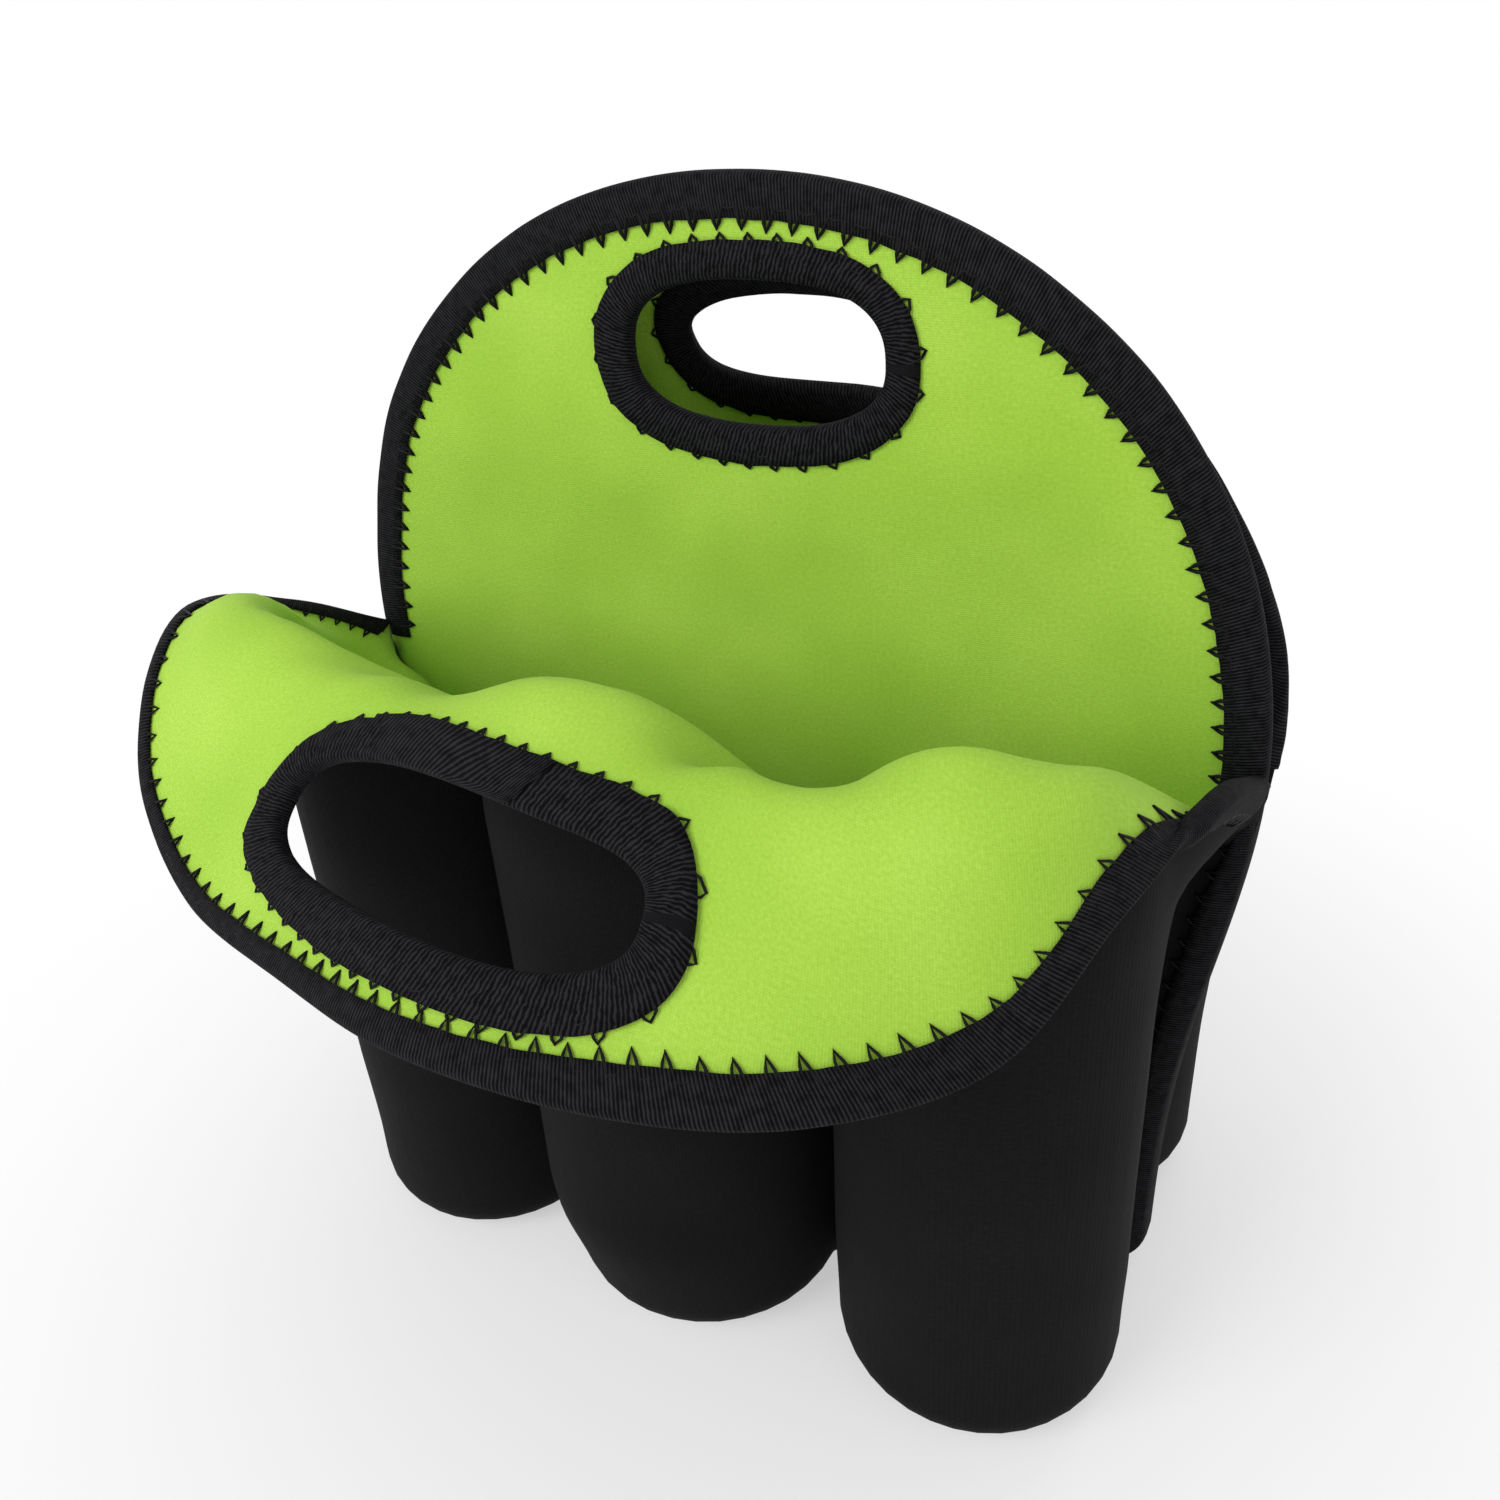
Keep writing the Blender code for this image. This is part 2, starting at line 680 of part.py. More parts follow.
def sheet_sections(mesh, pairs):
    """Tape sections at pairs of edge and inner vertices of a sheet."""
    sections = []
    for edge, inner in pairs:
        rim, root = mesh.vertices[edge], mesh.vertices[inner]
        spot = rim.co.lerp(root.co, TAPE_COVER_SHARE)
        normal = rim.normal.lerp(root.normal, TAPE_COVER_SHARE)
        sections.append(tape_section(rim.co, spot, rim.normal, normal, OUTSIDE, INSIDE))
    return sections


def stop_short(sections):
    """Draw the last section of a tape back from the fold line."""
    last = [one.lerp(two, TAPE_STOP_SHARE) for one, two in zip(sections[-1], sections[-2])]
    return sections[:-1] + [last]


def add_tape(name, sections, closed=False, parent=None):
    """Binding tape as a piece of its own."""
    add_object(name, sweep_mesh(name, sections, closed), BINDING, parent)


def cut_sheet(name, outlines, thickness, finish, location, rotation, parent=None):
    """Flat piece cut to outlines, as a filled curve."""
    curve = bpy.data.curves.new(name, "CURVE")
    curve.dimensions = "2D"
    curve.fill_mode = "BOTH"
    curve.extrude = thickness / 2
    for outline in outlines:
        line = curve.splines.new("POLY")
        line.points.add(len(outline) - 1)
        for point, (a, b) in zip(line.points, outline):
            point.co = (a, b, 0, 1)
        line.use_cyclic_u = True
    piece = add_object(name, curve, finish)
    piece.location = location
    piece.rotation_euler = rotation
    if parent is not None:
        piece.parent = parent
        piece.matrix_parent_inverse = parent.matrix_world.inverted()
    return piece


# Panels up to their folds

def build_pockets(panel):
    """Pocket walls with their collar and the two static wings beside the flap."""
    rows = wall_rows(panel.places, panel.back)
    rows += [[panel.flat_point(spot) for spot in row] for row in panel.collar_rows()]
    rows[-1] = [spot - panel.half_gap for spot in rows[-1]]
    count = len(panel.places)
    mesh = sheet_mesh(panel.name + "_pockets", rows, panel.back, False,
                      lambda k, i: {0: 1, count - 2: -1}.get(i, 0))
    add_plies(panel.name + "_pocket", mesh)
    wing = range(len(rows) - len(panel.rise_shares) - 1, len(rows))
    for side, end, inner in (("left", 0, 1), ("right", count - 1, count - 2)):
        pairs = [(k * count + end, k * count + inner) for k in wing]
        sections = stop_short(sheet_sections(mesh, pairs))
        add_tape(f"{panel.name}_collar_tape_{side}", sections)


# Flaps with their handle holes

def hole_point(angle, half_width, half_height):
    """Point of a rounded oval about its own middle."""
    power = 2 / HOLE_SQUARENESS
    c, s = math.cos(angle), math.sin(angle)
    return Vector((math.copysign(abs(c) ** power, c) * half_width,
                   math.copysign(abs(s) ** power, s) * half_height))


def flap_outline(panel, places):
    """Flat outline of a flap: its fold from left to right, then its edge back."""
    outline = [panel.fold_spot(place) for place in places[:-1]]
    low, high = arch_run(places[0]), arch_run(places[-1])
    return outline + [arch_spot(high, low, i / EDGE_SIDES) for i in range(EDGE_SIDES)]


def flap_rings(outline, fold_sides, hole_shift):
    """Flat rings of a flap from its handle hole out to its outline."""
    middle = Vector((hole_shift, FLAP_HEIGHT + FLAP_CORNER - OUTER_HOLE_DROP))
    rings = [[] for _ in range(RING_ROWS + 3)]
    runs = [0]
    for one, two in zip(outline, outline[1:] + outline[:1]):
        runs.append(runs[-1] + (two - one).length)
    for i, spot in enumerate(outline):
        if i < fold_sides:
            angle = math.pi * (1 + runs[i] / runs[fold_sides])
        else:
            angle = math.pi * (runs[i] - runs[fold_sides]) / (runs[-1] - runs[fold_sides])
        hole = hole_point(angle, OUTER_HOLE_HALF_WIDTH, OUTER_HOLE_HALF_HEIGHT)
        rim = middle + hole * (1 + HOLE_TAPE_LAND / hole.length)
        along = outline[(i + 1) % len(outline)] - outline[i - 1]
        if 0 < i < fold_sides:
            lip = spot + Vector((-along.y, along.x)).normalized() * FOLD_LIP
        else:
            lip = spot + edge_inward(3 * spot.x / FLAP_HALF_WIDTH) * TAPE_LAND
        if i in (0, fold_sides):
            above = outline[-1 if i == 0 else i + 1] - spot
            lip += above.normalized() * FOLD_LIP
        rings[0].append(middle + hole)
        for k in range(RING_ROWS + 1):
            rings[k + 1].append(rim.lerp(lip, k / RING_ROWS))
        rings[-1].append(spot)
    return rings


def build_flap(panel, hole_shift, parent):
    """Shell, lining and tapes of an outer flap."""
    prefix = panel.name + "_flap"
    skip = 2 if panel.back else 1
    places = panel.tops[:1] + panel.tops[2 + skip:-2 - skip:skip] + panel.tops[-1:]
    fold_sides = len(places) - 1
    sides = fold_sides + EDGE_SIDES
    rings = flap_rings(flap_outline(panel, places), fold_sides, hole_shift)
    rows = []
    for ring in rings:
        rows.append([panel.flat_point(spot) for spot in ring])
    for i in range(fold_sides + 1):
        rows[-1][i] += panel.half_gap * (2 if i in (0, fold_sides) else 1)
    mesh = sheet_mesh(prefix, rows, not panel.back, True,
                      lambda k, i: {0: 1, len(rows) - 2: -1}.get(k, 0))
    add_plies(prefix, mesh, parent)
    top = (len(rows) - 1) * sides
    around = [i % sides for i in range(fold_sides, sides + 1)]
    pairs = [(top + i, top - sides + i) for i in around]
    sections = stop_short(stop_short(sheet_sections(mesh, pairs))[::-1])
    add_tape(prefix + "_edge_tape", sections[::-1], False, parent)
    pairs = [(i, sides + i) for i in range(sides)]
    add_tape(prefix + "_handle_tape", sheet_sections(mesh, pairs), True, parent)


def fold_axis(name, y, z):
    """Empty on a flap's fold line."""
    axis = bpy.data.objects.new(name, None)
    axis.location = (0, y, z)
    TOTE.objects.link(axis)
    bpy.context.view_layer.update()
    return axis


def build_flaps():
    """Folded front flap, hinged past the crest, and standing back flap."""
    crest = max(point.z for point in CREST[1])
    axis = fold_axis("front_flap_axis", -FOLD_Y, crest + INSIDE)
    build_flap(FRONT, FRONT_HOLE_SHIFT, axis)
    behind = max(BACK.flat_point(BACK.fold_spot(place)).y for place in BACK.tops)
    axis = fold_axis("back_flap_axis", behind + OUTSIDE, BACK_FOLD_Z)
    build_flap(BACK, 0, axis)


# Divider

def divider_fold():
    """Height of the divider's fold."""
    return MOUTH_HEIGHT + DIVIDER_FOLD_RISE


def arch_outline(bottom):
    """Divider's arch above a height, from the right foot over the top to the left
    foot, and its inward directions."""
    start = math.asin(((bottom - MOUTH_HEIGHT) / ARCH_HEIGHT) ** (ARCH_SQUARENESS / 2))
    spots, inwards = [], []
    power = 2 / ARCH_SQUARENESS
    for i in range(ARCH_SIDES + 1):
        angle = start + (math.pi - 2 * start) * i / ARCH_SIDES
        c, s = math.cos(angle), math.sin(angle)
        spot = Vector((MOUTH_HALF_WIDTH * math.copysign(abs(c) ** power, c),
                       MOUTH_HEIGHT + ARCH_HEIGHT * s ** power))
        inward = Vector((-math.copysign(abs(c) ** (2 - power), c) * ARCH_HEIGHT,
                         -s ** (2 - power) * MOUTH_HALF_WIDTH))
        spots.append(spot)
        inwards.append(inward.normalized())
    return spots, inwards


def flat_sections(edge, inwards, land):
    """Tape sections round the edge of the standing divider."""
    across = Vector((0, 1, 0))
    sections = []
    for spot, inward in zip(edge, inwards):
        outer = Vector((spot.x, 0, spot.y))
        inner = outer + Vector((inward.x, 0, inward.y)) * land
        sections.append(tape_section(outer, inner, across, across, DIVIDER / 2, DIVIDER / 2))
    return sections


def build_divider():
    """Divider: the sheet sewn between the rows, and its hinged handle flap."""
    upright = (math.pi / 2, 0, 0)
    fold = divider_fold()
    right = []
    for turn in heel_angles():
        z, inset = heel_at(turn)
        right.append((seam_half(z) - inset, max(z, LIFT)))
    right += [(seam_half(z), z) for z in (*wall_heights(), MOUTH_HEIGHT)]
    below, _ = arch_outline(fold - DIVIDER_FOLD_GAP / 2)
    right.append((below[0].x, below[0].y))
    outline = right + [(-x, z) for x, z in reversed(right)]
    cut_sheet("divider_lower", [outline], DIVIDER, LIME, (0, 0, 0), upright)
    axis = fold_axis("divider_axis", -(DIVIDER / 2 + TAPE_FIT + TAPE), fold)
    arch, inwards = arch_outline(fold + DIVIDER_FOLD_GAP / 2)
    middle = Vector((0, MOUTH_HEIGHT + ARCH_HEIGHT - DIVIDER_HOLE_DROP))
    hole, outwards = [], []
    for i in range(ARCH_SIDES):
        angle = 2 * math.pi * i / ARCH_SIDES
        spot = hole_point(angle, DIVIDER_HOLE_HALF_WIDTH, DIVIDER_HOLE_HALF_HEIGHT)
        hole.append(middle + spot)
        outwards.append(Vector((math.cos(angle) / DIVIDER_HOLE_HALF_WIDTH,
                                math.sin(angle) / DIVIDER_HOLE_HALF_HEIGHT)).normalized())
    cut_sheet("divider_flap", [[tuple(p) for p in arch], [tuple(p) for p in hole]],
              DIVIDER, LIME, (0, 0, 0), upright, axis)
    add_tape("divider_flap_edge_tape", flat_sections(arch, inwards, TAPE_LAND), False, axis)
    add_tape("divider_flap_handle_tape", flat_sections(hole, outwards, HOLE_TAPE_LAND), True, axis)


# Partitions, base and side seams

def build_webs():
    """Partitions from each groove to the divider, shaped to the heel."""
    radius = HEEL - INSIDE - FIT
    outer = AXIS_Y - VALLEY - INSIDE - FIT
    outline = [(-(DIVIDER / 2 + FIT), LIFT)]
    for turn in heel_angles():
        outline.append((-outer + radius * (1 - math.sin(turn)), LIFT + radius * (1 - math.cos(turn))))
    top = MOUTH_HEIGHT - WEB_TOP_DROP
    outline.append((-outer, top))
    outline.append((-(DIVIDER / 2 + FIT), top))
    for row, turn in (("front", math.pi / 2), ("back", -math.pi / 2)):
        for side, x in (("left", -PITCH / 2), ("right", PITCH / 2)):
            points = outline if row == "front" else [(-y, z) for y, z in outline]
            piece = cut_sheet(f"{row}_web_{side}", [points], WEB, LIME, (x, 0, 0),
                              (math.pi / 2, 0, math.pi / 2))
            piece.rotation_mode = "XYZ"


def base_outline(end_margin, margin):
    """Outline of a base layer inside the feet of the walls."""
    z, inset = heel_at(0)
    outline = []
    for panel, places in ((FRONT, FRONT.places), (BACK, BACK.places[::-1])):
        for place in places[1:-1]:
            spot, inward, draw = plan_at(place, z, panel.back)
            gap = margin if abs(place) - 2 <= SIDE_SHARE else end_margin
            moved = spot + draw * inset + inward * gap
            outline.append((moved.x, moved.y))
    return outline


def build_base():
    """Base panel and its lining."""
    flat = (0, 0, 0)
    cut_sheet("base_panel", [base_outline(INSIDE + FIT, FIT)], SHELL, BLACK,
              (0, 0, SHELL / 2), flat)
    cut_sheet("base_lining", [base_outline(INSIDE + 2 * FIT, 2 * FIT)], LINING, LIME,
              (0, 0, BASE_TOP - LINING / 2), flat)


def build_side_seams():
    """Tape folded over the sewn ends of the panels at each side."""
    depth = SEAM_Y + OUTSIDE
    across = Vector((0, 1, 0))
    for side, turn in (("left", -1), ("right", 1)):
        sections = []
        for z in (HEEL_RADIUS, *wall_heights()[:-1]):
            edge = Vector((turn * seam_half(z), 0, z))
            inner = edge - Vector((turn * SEAM_TAPE_LAND, 0, 0))
            sections.append(tape_section(edge, inner, across, across, depth, depth))
        add_tape("side_seam_tape_" + side, sections)


def build_tote():
    """Make every piece."""
    build_pockets(FRONT)
    build_pockets(BACK)
    build_webs()
    build_divider()
    build_base()
    build_side_seams()
    build_flaps()


clear_scene()
TOTE = make_collection("drink_tote_bag")
BLACK = make_finish("black_knit", (0.010, 0.010, 0.011), 0.8)
LIME = make_finish("lime_knit", (0.36, 0.62, 0.055), 0.8)
BINDING = make_finish("black_tape", (0.012, 0.012, 0.013), 0.7)
FRONT = Panel("front", front_column, FRONT_EDGE, lambda spot: spot.y < -FOLD_Y,
              FRONT_RISE_SHARES, Vector((0, -1, 0)))
BACK = Panel("back", back_column, BACK_EDGE, lambda spot: spot.z > BACK_FOLD_Z,
             BACK_RISE_SHARES, Vector((0, 0, 1)))
build_tote()
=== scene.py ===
"""Looks of the drink tote bag, a foam cloth carrier for six bottles.

Frame: X along the rows of pockets, Y from the folded front flap to the back
flap, Z up, in metres.  Each cloth piece is rebuilt as a fine sheet from the
same named sizes as its solid, then bound, stitched and finished.
"""
import math

import bmesh
import bpy
from mathutils import Matrix, Vector, noise
from mathutils.geometry import delaunay_2d_cdt


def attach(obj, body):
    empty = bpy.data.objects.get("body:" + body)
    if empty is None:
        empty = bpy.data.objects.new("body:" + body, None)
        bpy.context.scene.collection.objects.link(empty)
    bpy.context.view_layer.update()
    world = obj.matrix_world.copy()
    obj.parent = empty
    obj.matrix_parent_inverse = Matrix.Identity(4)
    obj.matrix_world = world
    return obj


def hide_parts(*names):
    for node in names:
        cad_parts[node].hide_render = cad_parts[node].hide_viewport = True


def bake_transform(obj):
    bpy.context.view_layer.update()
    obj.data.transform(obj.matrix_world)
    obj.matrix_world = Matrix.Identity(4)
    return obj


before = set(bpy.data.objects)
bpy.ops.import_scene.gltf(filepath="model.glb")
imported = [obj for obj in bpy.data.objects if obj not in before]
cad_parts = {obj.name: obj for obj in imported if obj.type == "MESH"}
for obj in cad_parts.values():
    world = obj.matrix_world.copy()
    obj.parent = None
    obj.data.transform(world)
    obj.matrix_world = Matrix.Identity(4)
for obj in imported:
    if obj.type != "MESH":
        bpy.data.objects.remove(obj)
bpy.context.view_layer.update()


# Camera of the photograph: close to the bag, over its front right corner and
# a little tilted, which gives the near flap its size beside the pockets.
AZIMUTH, DOWNWARD, TILT = 29.77, 28.98, -3.96   # degrees
CAMERA_PLACE = (0.15025, -0.26942, 0.31293)
SENSOR = 36                                     # mm
FOCAL_PIXELS, PICTURE_PIXELS = 1299, 1500
azimuth, pitch, roll = (math.radians(angle) for angle in (AZIMUTH, DOWNWARD, TILT))
backwards = Vector((math.sin(azimuth) * math.cos(pitch),
                    -math.cos(azimuth) * math.cos(pitch), math.sin(pitch)))
level = Vector((math.cos(azimuth), math.sin(azimuth), 0))
rise = level.cross(-backwards)
right = level * math.cos(roll) + rise * math.sin(roll)
upwards = rise * math.cos(roll) - level * math.sin(roll)
lens = bpy.data.cameras.new("camera")
lens.sensor_width = SENSOR
lens.lens = SENSOR * FOCAL_PIXELS / PICTURE_PIXELS
camera = bpy.data.objects.new("camera", lens)
camera.matrix_world = Matrix((right, upwards, backwards)).transposed().to_4x4()
camera.location = CAMERA_PLACE
bpy.context.scene.collection.objects.link(camera)
bpy.context.scene.camera = camera
bpy.context.scene.view_settings.view_transform = "Standard"


# Cloth of the bag: soft foam sheet faced with a fine polyester knit, black on
# the outside and lime green inside, as bought by the roll and cut flat.

def linear(code):
    """Linear colour of an sRGB hex code."""
    shares = [int(code[i:i + 2], 16) / 255 for i in (1, 3, 5)]
    return tuple(c / 12.92 if c <= 0.04045 else ((c + 0.055) / 1.055) ** 2.4 for c in shares) + (1,)


def add_node(tree, kind, inputs=None, **settings):
    """Add a node, change its settings, and set or link its inputs."""
    node = tree.nodes.new(kind)
    for name, value in settings.items():
        setattr(node, name, value)
    for name, value in (inputs or {}).items():
        if isinstance(value, bpy.types.NodeSocket):
            tree.links.new(value, node.inputs[name])
        else:
            node.inputs[name].default_value = value
    return node


def add_material(name, roughness, sheen, sheen_roughness, specular):
    """Principled material with its constants set; returns it, its tree and shader."""
    made = bpy.data.materials.new(name)
    made.use_nodes = True
    shader = made.node_tree.nodes["Principled BSDF"]
    shader.inputs["Roughness"].default_value = roughness
    shader.inputs["Sheen Weight"].default_value = sheen
    shader.inputs["Sheen Roughness"].default_value = sheen_roughness
    shader.inputs["Specular IOR Level"].default_value = specular
    return made, made.node_tree, shader


def ramp(tree, value, stops):
    """Colour ramp over a value, from hex stops."""
    node = add_node(tree, "ShaderNodeValToRGB", {"Fac": value})
    while len(node.color_ramp.elements) < len(stops):
        node.color_ramp.elements.new(0.5)
    for element, (at, code) in zip(node.color_ramp.elements, stops):
        element.position = at
        element.color = linear(code)
    return node.outputs["Color"]


def add_math(tree, operation, *values):
    """Result of an operation on numbers or sockets."""
    return add_node(tree, "ShaderNodeMath", dict(enumerate(values)), operation=operation).outputs[0]


def add_noise(tree, where, scale, detail=2, roughness=0.5):
    """Grain at a place, from 0 to 1."""
    inputs = {"Vector": where, "Scale": scale, "Detail": detail, "Roughness": roughness}
    return add_node(tree, "ShaderNodeTexNoise", inputs).outputs["Fac"]


def add_wave(tree, where, scale, distortion, direction, detail_scale=1):
    """Even bands at a place, from 0 to 1."""
    inputs = {"Vector": where, "Scale": scale, "Distortion": distortion, "Detail Scale": detail_scale}
    return add_node(tree, "ShaderNodeTexWave", inputs, bands_direction=direction).outputs["Fac"]


def add_bump(tree, shader, height, strength, distance):
    """Small relief of a surface from a height."""
    bump = add_node(tree, "ShaderNodeBump",
                    {"Height": height, "Strength": strength, "Distance": distance})
    tree.links.new(bump.outputs["Normal"], shader.inputs["Normal"])


KNIT_ROUGHNESS = 0.82
NAP_ROUGHNESS = 0.45
WALE_SCALE = 520             # one wale of loops every 0.60 mm
COURSE_SCALE = 600           # one course of loops every 0.52 mm
LOOP_WANDER = 1.2            # how far the loops stray from straight rows
YARN_SCALE = 1150            # fuzz of the yarn, under 1 mm
CLOUD_SCALE = 22             # faint cloudiness of the dye, about 45 mm
YARN_SHARE, CLOUD_SHARE = 0.55, 0.45
DARK_AT, PLAIN_AT, LIGHT_AT = 0.33, 0.5, 0.67
LOOP_HEIGHT, LOOP_STRENGTH = 0.00025, 0.35


def knit_cloth(name, dark, plain, light, sheen, specular):
    """Fine knit: 0.6 mm loops in rows, with a slightly uneven grain."""
    made, tree, shader = add_material(name, KNIT_ROUGHNESS, sheen, NAP_ROUGHNESS, specular)
    cloth = add_node(tree, "ShaderNodeUVMap", uv_map="cloth").outputs["UV"]
    grain = add_noise(tree, cloth, YARN_SCALE, 3, 0.7)
    cloud = add_noise(tree, cloth, CLOUD_SCALE)
    shade = add_math(tree, "MULTIPLY_ADD", grain, YARN_SHARE,
                     add_math(tree, "MULTIPLY", cloud, CLOUD_SHARE))
    stops = ((DARK_AT, dark), (PLAIN_AT, plain), (LIGHT_AT, light))
    tree.links.new(ramp(tree, shade, stops), shader.inputs["Base Color"])
    loops = add_math(tree, "MULTIPLY", add_wave(tree, cloth, WALE_SCALE, LOOP_WANDER, "X"),
                     add_wave(tree, cloth, COURSE_SCALE, LOOP_WANDER, "Y"))
    add_bump(tree, shader, add_math(tree, "ADD", loops, grain), LOOP_STRENGTH, LOOP_HEIGHT)
    return made


# Dull black polyester knit of the outside, and the brighter lime one of the inside
BLACK_KNIT = knit_cloth("black_polyester_knit", "#0A0A0B", "#101011", "#171718", 0.012, 0.07)
LIME_KNIT = knit_cloth("lime_polyester_knit", "#96C43C", "#A4CF46", "#B3DB55", 0.05, 0.20)


# Outer panels: two foam plies each, cut in one with their handle flaps and
# sewn together round the pockets.  Their shape follows the solids.

# Cloth
SHELL = 0.0019               # foam with the black outer knit
LINING = 0.0012              # lime inner knit with its share of the foam
DIVIDER = 0.0040             # divider sheet, lime on both faces
FIT = 0.0003                 # gap between pieces that touch

# Pockets
SEAM_PLACE = 3               # place of the side seams, from 0 at the middle
POCKET_RADIUS = 0.0370       # outside of a pocket's round wall
VALLEY_RADIUS = 0.0025       # outside of the groove between two pockets
POCKET_SLACK = 0.0035        # between the divider and the round of a pocket
MOUTH_HEIGHT = 0.1580        # floor to the pocket mouths
HEEL_RADIUS = 0.0125         # wall turning into the bottom
SEAM_TURN = 0.0054           # end pocket's wall turning out to the side seam
FIN = 0.0116                 # straight stretch at the side seam, near the floor
CORNER_SPREAD = 0.0130       # side seam leans out by this much at the mouth
BACK_FLARE = 0.0060          # end pockets of the back row lean out at the mouth
MIDDLE_BULGE = 0.0080        # front middle pocket stands fuller than its neighbours
MIDDLE_SWAY = 0.0050         # and leans to the left

# Flaps
ARCH_HEIGHT = 0.1270         # divider's arch above the mouth
FLAP_HALF_WIDTH = 0.1720     # half the cut width of an outer panel's arch
FLAP_HEIGHT = 0.1300         # height of that arch along the cloth
FLAP_CORNER = 0.0040         # cut height of that arch at its corners

# Mesh fineness
LOBE_STEPS = 6
VALLEY_STEPS = 2
OUTER_STEPS = 5
TURN_STEPS = 2
FINE = 3                     # fine columns to each of these columns
HEEL_ROWS = 8                # rows round the heel
WALL_ROWS = 30               # and up the wall
RIM_STEPS = 132              # steps along an arch's edge
RING_STEPS = 84              # and round a hole
MESH_PITCH = 0.0036          # spacing of the fine sheet's points
RUN_STEPS = 48               # steps that measure the arch's edge
SPREAD_STEPS = 150           # and a pocket row's running length
COLUMN_STEPS = 24            # steps that measure each half of a panel's column
HALVINGS = 30                # halvings of a search along a curve

# Squareness exponent of the rounded holes, and shares that shape the panels
HOLE_SQUARENESS = 2.5
FLOOR_BULGE_SHARE = 0.3      # middle pocket's bulge at the floor
MOUTH_PULL_SHARE = 0.45      # handles of a front column's curves: at the mouth,
CREST_PULL_SHARE = 0.25      # before the crest,
FALL_PULL_SHARE = 0.28       # past the crest
EDGE_PULL_SHARE = 0.36       # and at the edge
GROOVE_REACH = 0.6           # places over which a groove leans towards the crest
BACK_PULL_SHARE = 0.2        # handles of a back column's curves
BACK_BOW_SHARE = 0.10        # how far a back column bows outwards
CLOSED_SHARE = 0.88          # wall height up to which the corner stays closed
OUTER_SHARE = 0.75           # part of the last place taken by the pocket's round wall
TURN_SHARE = 0.90            # and by the turn to the side seam
STRAIGHT_FROM = 2.4          # place beyond which a panel's columns turn straight


# Sizes that follow
OUTSIDE = FIT / 2 + SHELL
INSIDE = FIT / 2 + LINING
PITCH = 2 * (POCKET_RADIUS + VALLEY_RADIUS)
CORE = POCKET_RADIUS - OUTSIDE
VALLEY = VALLEY_RADIUS + OUTSIDE
AXIS_Y = DIVIDER / 2 + POCKET_SLACK + POCKET_RADIUS
POCKET_DEPTH = AXIS_Y + POCKET_RADIUS
SEAM_Y = DIVIDER / 2 + FIT + INSIDE
TURN = math.acos(-(AXIS_Y - SEAM_Y - SEAM_TURN) / (CORE + SEAM_TURN))
TURN_X = PITCH + (CORE + SEAM_TURN) * math.sin(TURN)
SEAM_FOOT = TURN_X + FIN
MOUTH_HALF_WIDTH = SEAM_FOOT + CORNER_SPREAD
HEEL = HEEL_RADIUS - OUTSIDE
QUARTER_SHARE = CORE / (CORE + VALLEY)
SIDE_SHARE = OUTER_SHARE * math.pi / 2 / TURN
BASE_TOP = OUTSIDE + INSIDE
LIFT = BASE_TOP + FIT

# Crest of the folded front flap: lobe place, then shares of the mouth's half
# width, of the depth from side seam to pocket front, and of the arch height
CREST_SHARES = (
    (-3.0, -1.000, 0.000, 0.016),
    (-2.8, -0.968, 0.452, 0.213),
    (-2.5, -0.864, 0.822, 0.315),
    (-2.0, -0.672, 1.006, 0.343),
    (-1.0, -0.332, 1.000, 0.215),
    (0.0, 0.000, 1.105, 0.346),
    (0.5, 0.168, 1.070, 0.315),
    (1.0, 0.336, 0.979, 0.135),
    (2.0, 0.672, 1.006, 0.334),
    (2.5, 0.860, 0.830, 0.285),
    (2.8, 0.950, 0.460, 0.182),
    (3.0, 1.000, 0.000, 0.016),
)

# The same crest as the cloth carries it on past the fold, where the sewn handle
# hole holds it flat and the pockets' rounds no longer show
CALM_CREST_SHARES = CREST_SHARES[:3] + (
    (-2.0, -0.672, 1.006, 0.333),
    (-1.0, -0.332, 1.030, 0.300),
    (0.0, 0.000, 1.060, 0.315),
    (1.0, 0.332, 1.030, 0.290),
    (2.0, 0.672, 1.006, 0.305),
    (2.5, 0.860, 0.830, 0.270),
    (2.8, 0.950, 0.460, 0.178),
) + CREST_SHARES[-1:]
CALM_FROM, CALM_SPAN = 0.34, 0.20   # shares of the flap's length where it takes over

# Edge of the folded front flap from the left corner to the right one, in the
# same shares
FRONT_EDGE_SHARES = (
    (-1.000, 0.000, 0.030),
    (-1.024, 0.412, 0.173),
    (-0.992, 0.848, 0.268),
    (-0.952, 1.112, 0.189),
    (-0.888, 1.315, 0.020),
    (-0.656, 1.530, -0.075),
    (-0.320, 1.706, -0.063),
    (0.000, 1.825, -0.047),
    (0.324, 1.779, -0.055),
    (0.580, 1.608, -0.063),
    (0.784, 1.290, -0.040),
    (0.892, 0.970, 0.118),
    (0.968, 0.500, 0.152),
    (1.000, 0.000, 0.030),
)

# Edge of the standing back flap, from the top to the right corner, in the same
# shares; the left half mirrors it
BACK_EDGE_SHARES = (
    (0.000, 0.092, 0.953),
    (0.320, 0.089, 0.915),
    (0.565, 0.083, 0.800),
    (0.735, 0.076, 0.645),
    (0.845, 0.100, 0.500),
    (0.925, 0.142, 0.360),
    (0.980, 0.160, 0.235),
    (1.005, 0.125, 0.120),
    (1.000, 0.000, 0.030),
)


def hermite(p0, p1, t0, t1, f):
    """Point on a cubic between two ends with given tangents."""
    f2 = f * f
    f3 = f2 * f
    return (p0 * (2 * f3 - 3 * f2 + 1) + t0 * (f3 - 2 * f2 + f)
            + p1 * (3 * f2 - 2 * f3) + t1 * (f3 - f2))


